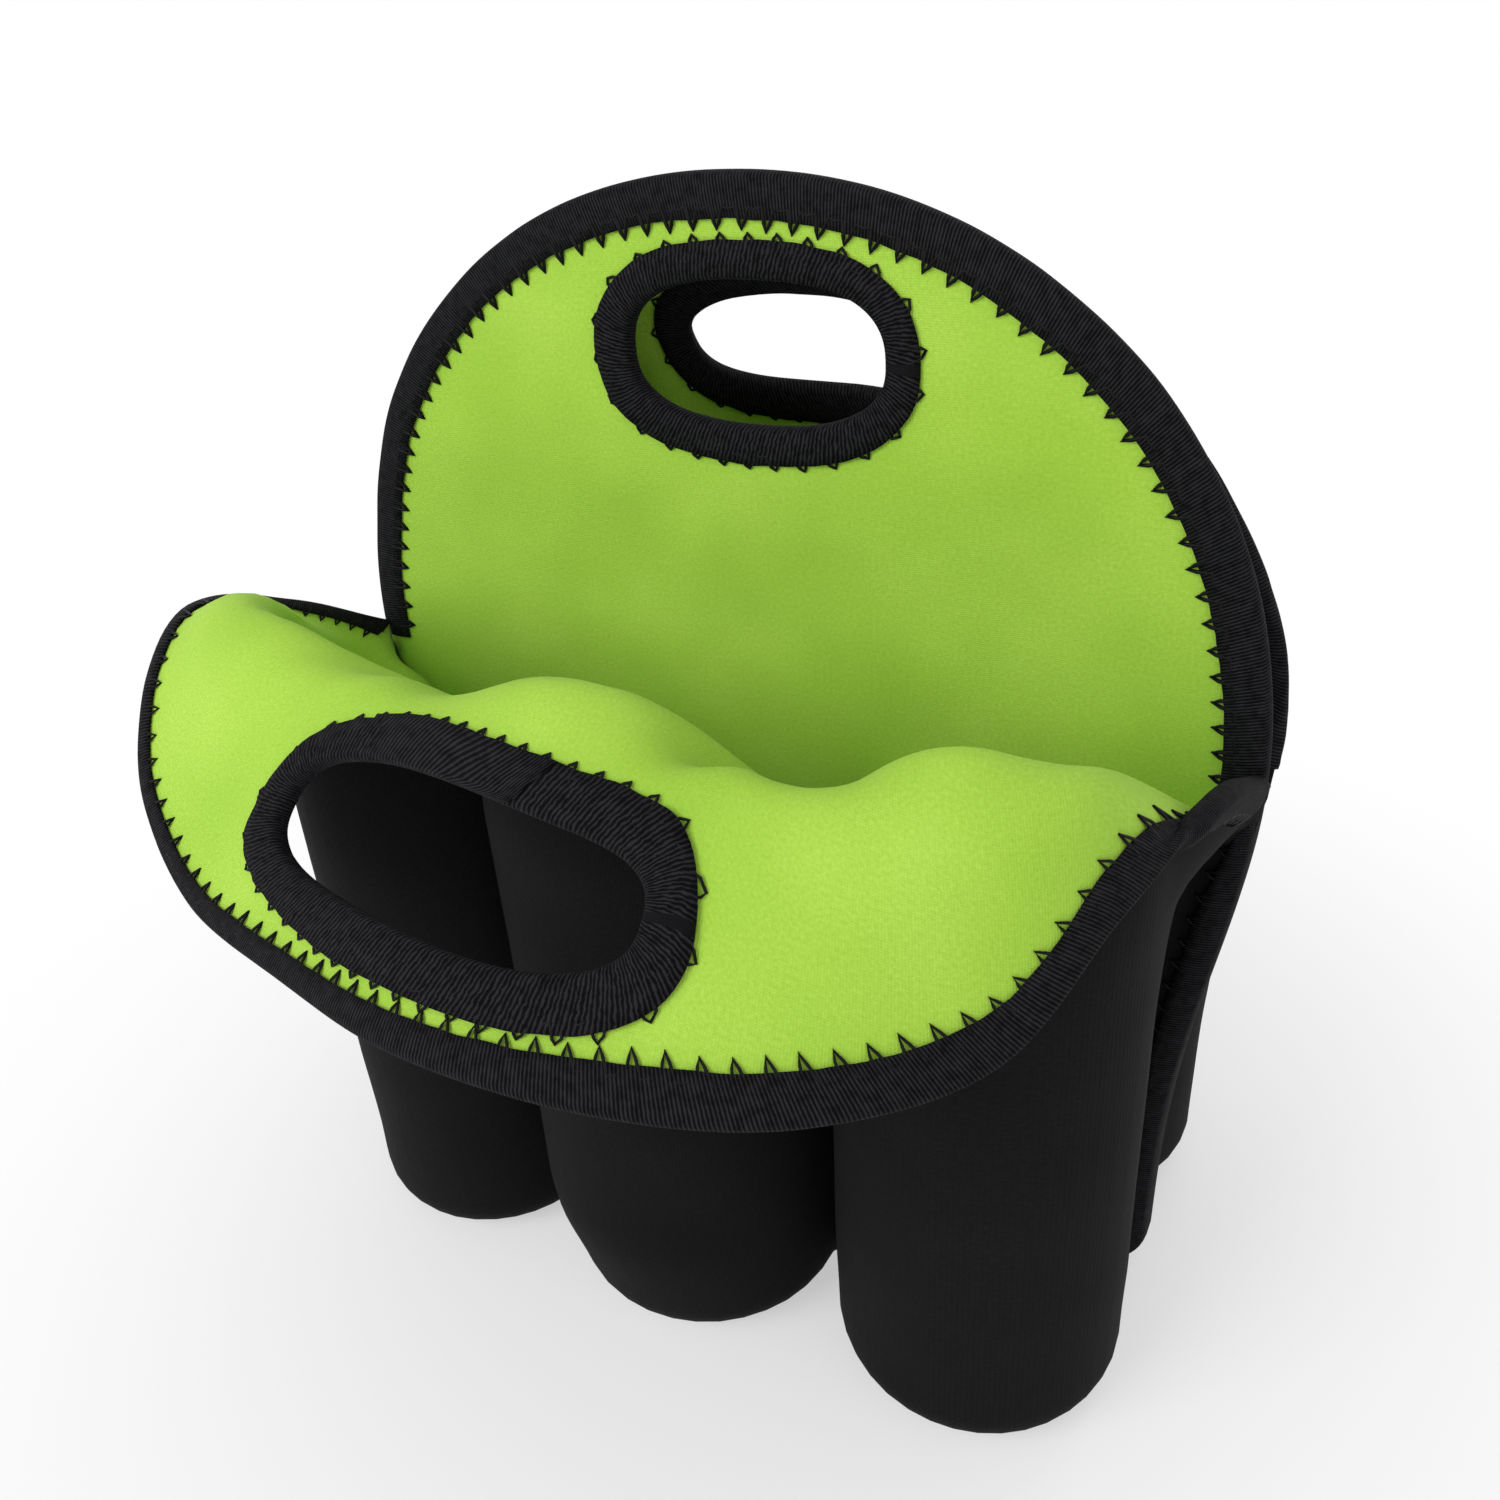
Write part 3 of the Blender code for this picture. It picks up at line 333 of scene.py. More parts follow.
def bezier(points, f):
    """Point on a cubic Bezier."""
    g = 1 - f
    return (points[0] * g ** 3 + points[1] * 3 * g * g * f
            + points[2] * 3 * g * f * f + points[3] * f ** 3)


def spline(knots, points, at):
    """Smooth curve through points that are placed at rising knots."""
    last = len(knots) - 1
    i = 0
    while i < last - 1 and at > knots[i + 1]:
        i += 1
    before = max(i - 1, 0)
    after = min(i + 2, last)
    span = knots[i + 1] - knots[i]
    t0 = (points[i + 1] - points[before]) * (span / (knots[i + 1] - knots[before]))
    t1 = (points[after] - points[i]) * (span / (knots[after] - knots[i]))
    return hermite(points[i], points[i + 1], t0, t1, (at - knots[i]) / span)


def clamp(value, low=0, high=1):
    """Value kept between two limits."""
    return min(max(value, low), high)


def signed_power(value, power):
    """Power of a number that keeps its sign."""
    return math.copysign(abs(value) ** power, value)


def smooth(f):
    """Ease from 0 to 1."""
    f = clamp(f)
    return f * f * (3 - 2 * f)


# Plan of a row of pockets, at the seam between shell and lining

def flare(z):
    """Share of the lean at a height."""
    return smooth(z / MOUTH_HEIGHT) ** 2


def opened(z):
    """How far the end pocket's corner has opened at a height."""
    closed = HEEL_RADIUS + (MOUTH_HEIGHT - HEEL_RADIUS) * CLOSED_SHARE
    return smooth((z - closed) / (MOUTH_HEIGHT - closed))


def seam_half(z):
    """Middle to the end of the side seam at a height."""
    return SEAM_FOOT + CORNER_SPREAD * flare(z)


def lobe_plan(place):
    """Plan point and inward direction between two neighbouring pocket fronts."""
    run = place if place <= 1 else 2 - place
    if run <= QUARTER_SHARE:
        angle = run / QUARTER_SHARE * math.pi / 2
        spot = Vector((CORE * math.sin(angle), -AXIS_Y - CORE * math.cos(angle), 0))
    else:
        angle = (1 - run) / (1 - QUARTER_SHARE) * math.pi / 2
        spot = Vector((PITCH / 2 - VALLEY * math.sin(angle), -AXIS_Y + VALLEY * math.cos(angle), 0))
    inward = Vector((-math.sin(angle), math.cos(angle), 0))
    if place > 1:
        spot.x = PITCH - spot.x
        inward.x = -inward.x
    return spot, inward


def end_plan(share, z, lean):
    """Plan point and inward direction from an end pocket's front to the side seam.
    Below, the wall turns back in to the seam; at the mouth it runs straight to it."""
    end = Vector((seam_half(z), -SEAM_Y, 0))
    if share <= OUTER_SHARE:
        angle = share / OUTER_SHARE * TURN
        spot = Vector((PITCH + CORE * math.sin(angle) + lean, -AXIS_Y - CORE * math.cos(angle), 0))
    elif share <= TURN_SHARE:
        angle = TURN * (TURN_SHARE - share) / (TURN_SHARE - OUTER_SHARE)
        spot = Vector((TURN_X - SEAM_TURN * math.sin(angle),
                       -SEAM_Y - SEAM_TURN * (1 - math.cos(angle)), 0))
    else:
        angle = 0
        spot = end - Vector((FIN * (1 - share) / (1 - TURN_SHARE), 0, 0))
    side = Vector((PITCH + CORE + lean, -AXIS_Y, 0))
    if SIDE_SHARE < share <= TURN_SHARE:
        root = end - Vector((FIN, 0, 0))
        straight = side.lerp(root, (share - SIDE_SHARE) / (TURN_SHARE - SIDE_SHARE))
        spot = spot.lerp(straight, flare(z))
    if SIDE_SHARE < share:
        straight = side.lerp(end, (share - SIDE_SHARE) / (1 - SIDE_SHARE))
        spot = spot.lerp(straight, opened(z))
    return spot, Vector((-math.sin(angle), math.cos(angle), 0))


def plan_at(place, z, back=False):
    """Plan point of a panel at a height, its inward normal and the way its heel
    draws in; place is 0 at the middle pocket's front, 1 at a groove, 2 at an end
    pocket's front and 3 at the side seam."""
    side = math.copysign(1, place)
    far = abs(place)
    lean = BACK_FLARE * flare(z) * smooth(far - 1) if back else 0
    if far <= 2:
        spot, inward = lobe_plan(far)
        spot.x += lean
    else:
        spot, inward = end_plan(far - 2, z, lean)
    draw = inward if far - 2 <= SIDE_SHARE else Vector((-1, 0, 0))
    spot.x *= side
    inward.x *= side
    draw = Vector((draw.x * side, draw.y, 0)) if draw is not inward else inward.copy()
    if not back and far < 1:
        rise = FLOOR_BULGE_SHARE + (1 - FLOOR_BULGE_SHARE) * smooth(z / AXIS_Y)
        full = (1 - far * far) * rise
        spot -= inward * MIDDLE_BULGE * full
        spot.x -= MIDDLE_SWAY * full
    if back:
        for each in (spot, inward, draw):
            each.y = -each.y
    return spot, inward, draw


def heel_at(turn):
    """Height and inset of the heel at an angle from the floor."""
    return OUTSIDE + HEEL * (1 - math.cos(turn)), HEEL * (1 - math.sin(turn))


# Upper part of the outer panels

def share_point(shares, back=False):
    """Point of a table row of shares."""
    x, y, z = shares
    depth = SEAM_Y + (POCKET_DEPTH - SEAM_Y) * y
    return Vector((MOUTH_HALF_WIDTH * x, depth if back else -depth, MOUTH_HEIGHT + ARCH_HEIGHT * z))


CREST = ([row[0] for row in CREST_SHARES], [share_point(row[1:]) for row in CREST_SHARES])
CALM_CREST = ([row[0] for row in CALM_CREST_SHARES],
              [share_point(row[1:]) for row in CALM_CREST_SHARES])


def running(points):
    """Running lengths along points."""
    runs = [0]
    for one, two in zip(points, points[1:]):
        runs.append(runs[-1] + (two - one).length)
    return runs


def located(runs, target):
    """Number of the stretch that holds a running length, and the share within it."""
    i = 0
    while i < len(runs) - 2 and runs[i + 1] < target:
        i += 1
    return i, (target - runs[i]) / max(runs[i + 1] - runs[i], FIT * FIT)


def edge_curve(points):
    """Points of an edge with their running shares of its length."""
    runs = running(points)
    return [run / runs[-1] for run in runs], points


FRONT_EDGE = edge_curve([share_point(row) for row in FRONT_EDGE_SHARES])
BACK_EDGE = edge_curve([share_point((-x, y, z), True) for x, y, z in reversed(BACK_EDGE_SHARES[1:])]
                       + [share_point(row, True) for row in BACK_EDGE_SHARES])


def arch_height(place):
    """Height of the flat arch at a place."""
    return FLAP_HEIGHT * math.sqrt(max(1 - (place / SEAM_PLACE) ** 2, 0)) + FLAP_CORNER


def place_of(across):
    """Place that lies this far across the flat cut."""
    return SEAM_PLACE * across / FLAP_HALF_WIDTH


def across_of(place):
    """How far across the flat cut a place lies."""
    return place * FLAP_HALF_WIDTH / SEAM_PLACE


def arch_spot(share):
    """Point of the flat arch's edge at a share of the way from right to left."""
    place = bisect(-SEAM_PLACE, SEAM_PLACE, lambda p: arch_run(p) > 1 - share)
    return Vector((across_of(place), arch_height(place)))


def edge_inward(place):
    """Flat direction square to the arch's edge, into the panel."""
    across = place / SEAM_PLACE / FLAP_HALF_WIDTH
    upward = (arch_height(place) - FLAP_CORNER) / FLAP_HEIGHT ** 2
    return -Vector((across, upward)).normalized()


def arch_run(place):
    """Share of the flat arch's edge, from the left corner to a place."""
    def length(end):
        angles = [end * i / RUN_STEPS for i in range(RUN_STEPS + 1)]
        spots = [Vector((FLAP_HALF_WIDTH * math.sin(a), FLAP_HEIGHT * math.cos(a))) for a in angles]
        return running(spots)[-1]
    share = length(math.asin(min(abs(place) / SEAM_PLACE, 1))) / length(math.pi / 2) / 2
    return 0.5 + math.copysign(share, place)


def straighten(place, first, second):
    """Draw the columns near a corner out straight between mouth and edge."""
    share = smooth((abs(place) - STRAIGHT_FROM) / (TURN_SHARE + 2 - STRAIGHT_FROM))
    mouth, edge = first[0], second[3]
    line = [mouth.lerp(edge, i / 6) for i in range(7)]
    first = [point.lerp(line[i], share) for i, point in enumerate(first)]
    second = [point.lerp(line[i + 3], share) for i, point in enumerate(second)]
    return first, second


def mouth_point(place, back=False):
    """Point of a panel at the pocket mouths."""
    mouth = plan_at(place, MOUTH_HEIGHT, back)[0]
    mouth.z = MOUTH_HEIGHT
    return mouth


def front_column(place, crest=CREST):
    """Control points of the two cubics of a front panel's column."""
    mouth = mouth_point(place)
    crest = spline(*crest, place)
    edge = spline(*FRONT_EDGE, arch_run(place))
    rise = (crest - mouth).length
    fall = edge - crest
    ahead = Vector((fall.x, fall.y, 0))
    ahead = ahead.normalized() if ahead.length > FIT else Vector((0, -1, 0))
    up = Vector((0, 0, 1))
    groove = smooth(1 - abs(abs(place) - 1) / GROOVE_REACH)
    start = up.lerp((crest - mouth).normalized(), groove)
    first = (mouth, mouth + start * rise * MOUTH_PULL_SHARE,
             crest - ahead * rise * CREST_PULL_SHARE, crest)
    second = (crest, crest + ahead * fall.length * FALL_PULL_SHARE,
              edge - fall * EDGE_PULL_SHARE, edge)
    return straighten(place, first, second)


def calm_column(place):
    """Column of the front panel as it would be without the pockets' rounds."""
    return front_column(place, CALM_CREST)


def back_column(place):
    """Control points of the two cubics of a back panel's column."""
    mouth = mouth_point(place, back=True)
    edge = spline(*BACK_EDGE, arch_run(place))
    lean = edge - mouth
    up = Vector((0, 0, 1))
    middle = mouth + lean / 2 + Vector((0, 1, 0)) * lean.length * BACK_BOW_SHARE
    pull = lean * BACK_PULL_SHARE
    first = (mouth, mouth + up * pull.length, middle - pull, middle)
    second = (middle, middle + pull, edge - pull, edge)
    return straighten(place, first, second)


COLUMN_CACHE = {}


def column_path(column, place):
    """Running lengths and points of a column."""
    key = (column.__name__, round(place, 6))
    if key not in COLUMN_CACHE:
        first, second = column(place)
        points = [bezier(first, i / COLUMN_STEPS) for i in range(COLUMN_STEPS + 1)]
        points += [bezier(second, (i + 1) / COLUMN_STEPS) for i in range(COLUMN_STEPS)]
        COLUMN_CACHE[key] = (running(points), points)
    return COLUMN_CACHE[key]


def panel_point(column, place, height):
    """Point of an upper panel at a share of its column's length."""
    runs, points = column_path(column, clamp(place, -SEAM_PLACE, SEAM_PLACE))
    i, share = located(runs, clamp(height) * runs[-1])
    return points[i].lerp(points[i + 1], share)


def bisect(low, high, beyond):
    """Value between low and high at which a test turns true."""
    for _ in range(HALVINGS):
        half = (low + high) / 2
        if beyond(half):
            high = half
        else:
            low = half
    return low


def refined(places):
    """Places with further ones evenly between them."""
    fine = []
    for one, two in zip(places, places[1:]):
        fine += [one + (two - one) * i / FINE for i in range(FINE)]
    return fine + [places[-1]]


def lobe_places():
    """Places of the columns from one side seam to the other."""
    half = [QUARTER_SHARE * i * 2 / LOBE_STEPS for i in range(LOBE_STEPS // 2)]
    valley = [QUARTER_SHARE + 2 * (1 - QUARTER_SHARE) * i / VALLEY_STEPS
              for i in range(VALLEY_STEPS + 1)]
    places = half + valley + [2 - p for p in reversed(half)]
    places += [2 + OUTER_SHARE * (i + 1) / OUTER_STEPS for i in range(OUTER_STEPS)]
    places += [2 + OUTER_SHARE + (TURN_SHARE - OUTER_SHARE) * (i + 1) / TURN_STEPS
               for i in range(TURN_STEPS)]
    places.append(SEAM_PLACE)
    return [-p for p in reversed(places[1:])] + places


def hole_point(angle, half_width, half_height):
    """Point of a rounded oval about its own middle."""
    power = 2 / HOLE_SQUARENESS
    return Vector((signed_power(math.cos(angle), power) * half_width,
                   signed_power(math.sin(angle), power) * half_height))


BROAD_ACROSS, BROAD_UP, BROAD_RELIEF = 0.034, 0.045, 0.00055   # slow waves of the foam
SMALL_ACROSS, SMALL_UP, SMALL_RELIEF = 0.012, 0.016, 0.00018   # and small ones


def relief(across, up, seed):
    """How far the soft cloth stands off its even surface."""
    broad = noise.noise(Vector((across / BROAD_ACROSS, up / BROAD_UP, seed)))
    small = noise.noise(Vector((across / SMALL_ACROSS, up / SMALL_UP, seed + 7)))
    return BROAD_RELIEF * broad + SMALL_RELIEF * small


NORMAL_STEP = 0.0012         # half the span over which a normal is measured
CORNER_PLACE = 2.999         # just short of the arch's corner

# Roll of the front flap's tapes towards the left, which narrows them: full share
# of their width, what it loses, from where across, and over what length
HOLE_ROLL = (1.05, 0.38, -0.015, 0.045)
EDGE_ROLL = (1.10, 0.58, 0.075, 0.150)


class OuterCloth:
    """Outer panel as a surface over its flat cut: across, and up from the mouth."""

    def __init__(self, column, seed, hole):
        self.column, self.seed, self.hole = column, seed, hole
        self.back = column is back_column
        self.turn = -1 if self.back else 1

    def even(self, spot):
        """Point of the surface without relief."""
        place = clamp(place_of(spot[0]), -SEAM_PLACE, SEAM_PLACE)
        share = spot[1] / arch_height(place)
        point = panel_point(self.column, place, share)
        if self.back or share < CALM_FROM:
            return point
        calm = smooth((share - CALM_FROM) / CALM_SPAN)
        return point.lerp(panel_point(calm_column, place, share), calm)

    def normal(self, spot):
        """Direction towards the shell's side."""
        step = NORMAL_STEP
        across = clamp(spot[0], step - FLAP_HALF_WIDTH, FLAP_HALF_WIDTH - step)
        top = arch_height(place_of(across))
        up = clamp(spot[1], step, max(top - 3 * step, step))
        along = self.even((across + step, up)) - self.even((across - step, up))
        rising = self.even((across, up + step)) - self.even((across, up - step))
        return (along.cross(rising) * self.turn).normalized()

    def point(self, spot):
        """Point of the surface."""
        return self.even(spot) + self.normal(spot) * relief(spot[0], spot[1], self.seed)

    def rim(self, count):
        """Spots along the arch's edge from the right corner to the left one."""
        return [arch_spot(i / count) for i in range(count + 1)]

    def cover(self, spot, hole):
        """Share of its width that a tape shows here; the rest is rolled under."""
        if self.back:
            return 1
        full, loss, start, length = HOLE_ROLL if hole else EDGE_ROLL
        return full - loss * smooth((start - spot[0]) / length)

    def inward(self, spot):
        """Flat direction square to the arch's edge."""
        return edge_inward(clamp(place_of(spot[0]), -CORNER_PLACE, CORNER_PLACE))


def hole_rim(hole, count):
    """Spots round a handle hole, and their directions out into the cloth."""
    x, y, half_width, half_height = hole
    spots, outwards = [], []
    for i in range(count):
        angle = 2 * math.pi * i / count
        spots.append(Vector((x, y)) + hole_point(angle, half_width, half_height))
    for i, spot in enumerate(spots):
        along = spots[(i + 1) % count] - spots[i - 1]
        outwards.append(Vector((along.y, -along.x)).normalized())
    return spots, outwards


def limits(outline):
    """Least and greatest coordinates of an outline."""
    return ([min(spot[k] for spot in outline) for k in (0, 1)],
            [max(spot[k] for spot in outline) for k in (0, 1)])


def in_hole(spot, hole, margin):
    """Whether a spot lies in a hole or within a margin of it."""
    x, y, half_width, half_height = hole
    across = abs(spot[0] - x) / (half_width + margin)
    up = abs(spot[1] - y) / (half_height + margin)
    return across ** HOLE_SQUARENESS + up ** HOLE_SQUARENESS < 1


ROW_SHARE = 0.87             # rows of a triangle mesh over its spacing
EDGE_CLEAR = 0.55            # free margin at an edge over the spacing
WELD = 1e-7
TINY = 1e-6


def cut_flat(outline, hole, inside, pitch):
    """Fine flat triangles of a cut piece with a hole; inside tells of a spot with a
    margin.  The outline's points come first."""
    spots = list(outline)
    edges = [(i, (i + 1) % len(outline)) for i in range(len(outline))]
    if hole:
        ring = hole_rim(hole, RING_STEPS)[0]
        edges += [(len(spots) + i, len(spots) + (i + 1) % len(ring)) for i in range(len(ring))]
        spots += ring
    border = len(spots)
    low, high = limits(outline)
    row, up = 0, low[1] + pitch / 2
    while up < high[1]:
        across = low[0] + pitch / 2 * (row % 2)
        while across < high[0]:
            spot = Vector((across, up))
            clear = pitch * EDGE_CLEAR
            if inside(spot, clear) and not (hole and in_hole(spot, hole, clear)):
                spots.append(spot)
            across += pitch
        up += pitch * ROW_SHARE
        row += 1
    flat, _, faces, origins, *_ = delaunay_2d_cdt(spots, edges, [], 0, WELD)
    kept = []
    for face in faces:
        ends = [min(origins[i]) if origins[i] else border for i in face]
        middle = sum((flat[i] for i in face), Vector((0, 0))) / len(face)
        if max(ends) < border and (not inside(middle, 0) or (hole and in_hole(middle, hole, 0))):
            continue
        kept.append(tuple(ends[k] if origins[i] else i for k, i in enumerate(face)))
    return spots, kept


def cloth_object(name, shape, finish):
    """Link a mesh as a shown piece with its finish."""
    mesh = bpy.data.meshes.new(name)
    shape.to_mesh(mesh)
    mesh.shade_smooth()
    mesh.materials.append(finish)
    piece = bpy.data.objects.new(name, mesh)
    bpy.context.scene.collection.objects.link(piece)
    return piece


def add_thickness(piece, thickness, offset=0):
    """Give a sheet its thickness, to both sides or off to one."""
    solid = piece.modifiers.new("thickness", "SOLIDIFY")
    solid.thickness = thickness
    solid.offset = offset
    return solid


def set_uv(shape, where):
    """Write flat places in metres as the UV layer that the finishes read."""
    layer = shape.loops.layers.uv.new("cloth")
    for face in shape.faces:
        for loop in face.loops:
            loop[layer].uv = where[loop.vert]


def flat_shape(spots, faces, place):
    """Mesh of flat triangles set out in space by a place function."""
    shape = bmesh.new()
    where, verts = {}, []
    for spot in spots:
        vert = shape.verts.new(place(spot))
        where[vert] = tuple(spot)
        verts.append(vert)
    for face in faces:
        shape.faces.new([verts[i] for i in face])
    set_uv(shape, where)
    return shape


def cut_area(shape):
    """Area of a cut piece."""
    return sum(face.calc_area() for face in shape.faces)


def wall_rows():
    """Heights and insets of the mesh rows from the sewn foot to the mouth."""
    rows = [heel_at(math.pi / 2 * i / HEEL_ROWS) for i in range(HEEL_ROWS + 1)]
    for i in range(1, WALL_ROWS + 1):
        rows.append((HEEL_RADIUS + (MOUTH_HEIGHT - HEEL_RADIUS) * i / WALL_ROWS, 0))
    return rows


def outer_shape(cloth):
    """Fine sheet of a whole outer panel, from its sewn foot to its arch."""
    shape = bmesh.new()
    places = refined(lobe_places())
    where = {}
    rows = []
    for z, inset in wall_rows():
        row = []
        for place in places:
            spot, inward, draw = plan_at(place, z, cloth.back)
            up = z - MOUTH_HEIGHT
            across = across_of(place)
            lift = relief(across, up, cloth.seed) * smooth(z / HEEL_RADIUS)
            point = spot + draw * inset - inward * lift
            vert = shape.verts.new((point.x, point.y, z))
            where[vert] = (across, up)
            row.append(vert)
        rows.append(row)
    for low, high in zip(rows, rows[1:]):
        for i in range(len(places) - 1):
            face = [low[i], low[i + 1], high[i + 1], high[i]]
            shape.faces.new(reversed(face) if cloth.back else face)
    mouth = [Vector((across_of(place), 0)) for place in places]
    outline = mouth + cloth.rim(RIM_STEPS)

    def inside(spot, margin):
        place = SEAM_PLACE * spot.x / (FLAP_HALF_WIDTH - margin)
        return abs(place) < SEAM_PLACE and margin < spot.y < arch_height(place) - margin

    spots, faces = cut_flat(outline, cloth.hole, inside, MESH_PITCH)
    verts = list(rows[-1])
    for spot in spots[len(mouth):]:
        vert = shape.verts.new(cloth.point(spot))
        where[vert] = tuple(spot)
        verts.append(vert)
    for face in faces:
        corners = [verts[i] for i in face]
        shape.faces.new(reversed(corners) if cloth.back else corners)
    set_uv(shape, where)
    return shape


def arch_spread(cloth):
    """Running length of a panel's cut from its middle to the side seam, half way up."""
    spots = [plan_at(i * SEAM_PLACE / SPREAD_STEPS, MOUTH_HEIGHT / 2, cloth.back)[0]
             for i in range(SPREAD_STEPS + 1)]
    return running(spots)[-1]


def add_outer_plies(prefix, cloth, other, start, end):
    """Shell and lining on the two sides of one fine sheet."""
    shape = outer_shape(cloth)
    wide = 2 * arch_spread(cloth)
    for suffix, finish, slot, thickness, side in (
            ("shell", BLACK_KNIT, "black_knit", SHELL, 1),
            ("lining", LIME_KNIT, "lime_knit", LINING, -1)):
        piece = cloth_object(f"{prefix}_panel_{suffix}", shape, finish)
        solid = add_thickness(piece, thickness, side * (1 + FIT / thickness))
        solid.use_even_offset = False
        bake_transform(piece)
        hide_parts(f"{prefix}_pocket_{suffix}", f"{prefix}_flap_{suffix}")
        cut_area(shape)
    shape.free()


# Handle holes as cut: middle across, middle above the mouth, half width, half height
FRONT_HOLE = (-0.0052, 0.0952, 0.0562, 0.0187)
BACK_HOLE = (0.0062, 0.0892, 0.0440, 0.0200)

# Where the cloth starts and ends to bend at each fold, on the way to its flap
FRONT_FOLD = {"start": (0, -0.0840, 0.2030), "end": (0, -0.0979, 0.2051)}
BACK_FOLD = {"start": (0, 0, 0.1960), "end": (0, 0, 0.2120)}
FRONT_CLOTH = OuterCloth(front_column, 3.1, FRONT_HOLE)
BACK_CLOTH = OuterCloth(back_column, 11.7, BACK_HOLE)
add_outer_plies("front", FRONT_CLOTH, "front_flap", **FRONT_FOLD)
add_outer_plies("back", BACK_CLOTH, "back_flap", **BACK_FOLD)


# Divider: one foam sheet faced lime on both sides, sewn between the two rows
# of pockets, with the third handle cut in its arch.

ARCH_SQUARENESS = 2.1        # exponent of the arch's rounded outline
DIVIDER_FOLD = {"start": (0, 0, 0.1600), "end": (0, 0, 0.1740)}
DIVIDER_HOLE_DROP = 0.0375   # middle of the hole below the arch's top
DIVIDER_CUT_HOLE = (0.0045, MOUTH_HEIGHT + ARCH_HEIGHT - DIVIDER_HOLE_DROP, 0.0345, 0.0180)
DIVIDER_RIM_STEPS = 120
FREE_HEIGHT = 0.040          # above the mouth, where the arch hangs fully free
FREE_WAVE, SEWN_WAVE = 2.2, 0.6     # its waves there, and between the seams
SEWN_REACH = 0.95            # share of the half width that waves at all
DIVIDER_PITCH = MESH_PITCH * 1.15


class DividerCloth:
    """Divider as a surface over its flat cut: across, and height above the floor."""

    seed = 21.3

    def point(self, spot):
        free = smooth((spot[1] - MOUTH_HEIGHT) / FREE_HEIGHT)
        near = smooth(1 - abs(spot[0]) / (MOUTH_HALF_WIDTH * SEWN_REACH))
        wave = relief(spot[0], spot[1], self.seed)
        return Vector((spot[0], wave * (FREE_WAVE * free + SEWN_WAVE * near), spot[1]))

    def normal(self, spot):
        return Vector((0, -1, 0))

    def cover(self, spot, hole):
        return 1

    def rim(self, count):
        angle = [math.pi * i / count for i in range(count + 1)]
        power = 2 / ARCH_SQUARENESS
        return [Vector((MOUTH_HALF_WIDTH * signed_power(math.cos(a), power),
                        MOUTH_HEIGHT + ARCH_HEIGHT * max(math.sin(a), 0) ** power)) for a in angle]

    def inward(self, spot):
        across = abs(spot[0]) / MOUTH_HALF_WIDTH
        up = max(spot[1] - MOUTH_HEIGHT, 0) / ARCH_HEIGHT
        power = ARCH_SQUARENESS - 1
        slope = Vector((math.copysign(across ** power / MOUTH_HALF_WIDTH, spot[0]),
                        up ** power / ARCH_HEIGHT))
        return -slope.normalized()


def divider_half(z):
    """Half width of the divider at a height."""
    if z > MOUTH_HEIGHT:
        share = min((z - MOUTH_HEIGHT) / ARCH_HEIGHT, 1)
        return MOUTH_HALF_WIDTH * (1 - share ** ARCH_SQUARENESS) ** (1 / ARCH_SQUARENESS)
    if z > HEEL_RADIUS:
        return seam_half(z)
    turn = math.acos(clamp(1 - (z - OUTSIDE) / HEEL))
    return seam_half(z) - heel_at(turn)[1]


DIVIDER_CLOTH = DividerCloth()


def divider_shape():
    """Fine sheet of the divider."""
    right = [Vector((seam_half(z) - inset, max(z, LIFT))) for z, inset in wall_rows()]
    arch = DIVIDER_CLOTH.rim(DIVIDER_RIM_STEPS)
    outline = right[:-1] + arch + [Vector((-spot.x, spot.y)) for spot in reversed(right[:-1])]

    def inside(spot, margin):
        return (spot.y > LIFT + margin and spot.y < MOUTH_HEIGHT + ARCH_HEIGHT - margin
                and abs(spot.x) < min(divider_half(spot.y), divider_half(spot.y + margin)) - margin)

    spots, faces = cut_flat(outline, DIVIDER_CUT_HOLE, inside, DIVIDER_PITCH)
    return flat_shape(spots, faces, DIVIDER_CLOTH.point)


shape = divider_shape()
divider = cloth_object("divider_sheet", shape, LIME_KNIT)
add_thickness(divider, DIVIDER)
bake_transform(divider)
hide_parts("divider_lower", "divider_flap")
cut_area(shape)
shape.free()


# Partitions: four lime foam strips, each sewn upright from a groove of the
# outer panel to the divider, which part the pockets of a row.

WEB = 0.0040                 # thickness of a partition
WEB_TOP_DROP = 0.0120        # its top below the mouth
WEB_HEEL_STEPS, WEB_WALL_STEPS, WEB_TOP_STEPS = 6, 30, 8
WEB_PITCH = 0.0045           # spacing of its mesh
WEB_SWAY = 0.0015            # how far it sways, in waves of the next two lengths
SWAY_ACROSS, SWAY_UP = 0.03, 0.05
SWAY_SEED = 90               # sets the partitions' waves apart


def flat_piece(name, outline, pitch, place, thickness, finish):
    """Fine flat sheet cut to an outline and set out by a place function."""
    def inside(spot, margin):
        hits = False
        nearest = 1
        for one, two in zip(outline, outline[1:] + outline[:1]):
            if (one.y > spot.y) != (two.y > spot.y):
                if spot.x < one.x + (spot.y - one.y) / (two.y - one.y) * (two.x - one.x):
                    hits = not hits
            run = two - one
            share = clamp((spot - one).dot(run) / max(run.length_squared, TINY ** 2))
            nearest = min(nearest, (spot - one - run * share).length)
        return hits and nearest >= margin

    shape = flat_shape(*cut_flat(outline, None, inside, pitch), place)
    piece = cloth_object(name, shape, finish)
    add_thickness(piece, thickness)
    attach(piece, "pockets")
    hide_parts(name.replace("_sheet", ""))
    cut_area(shape)
    shape.free()


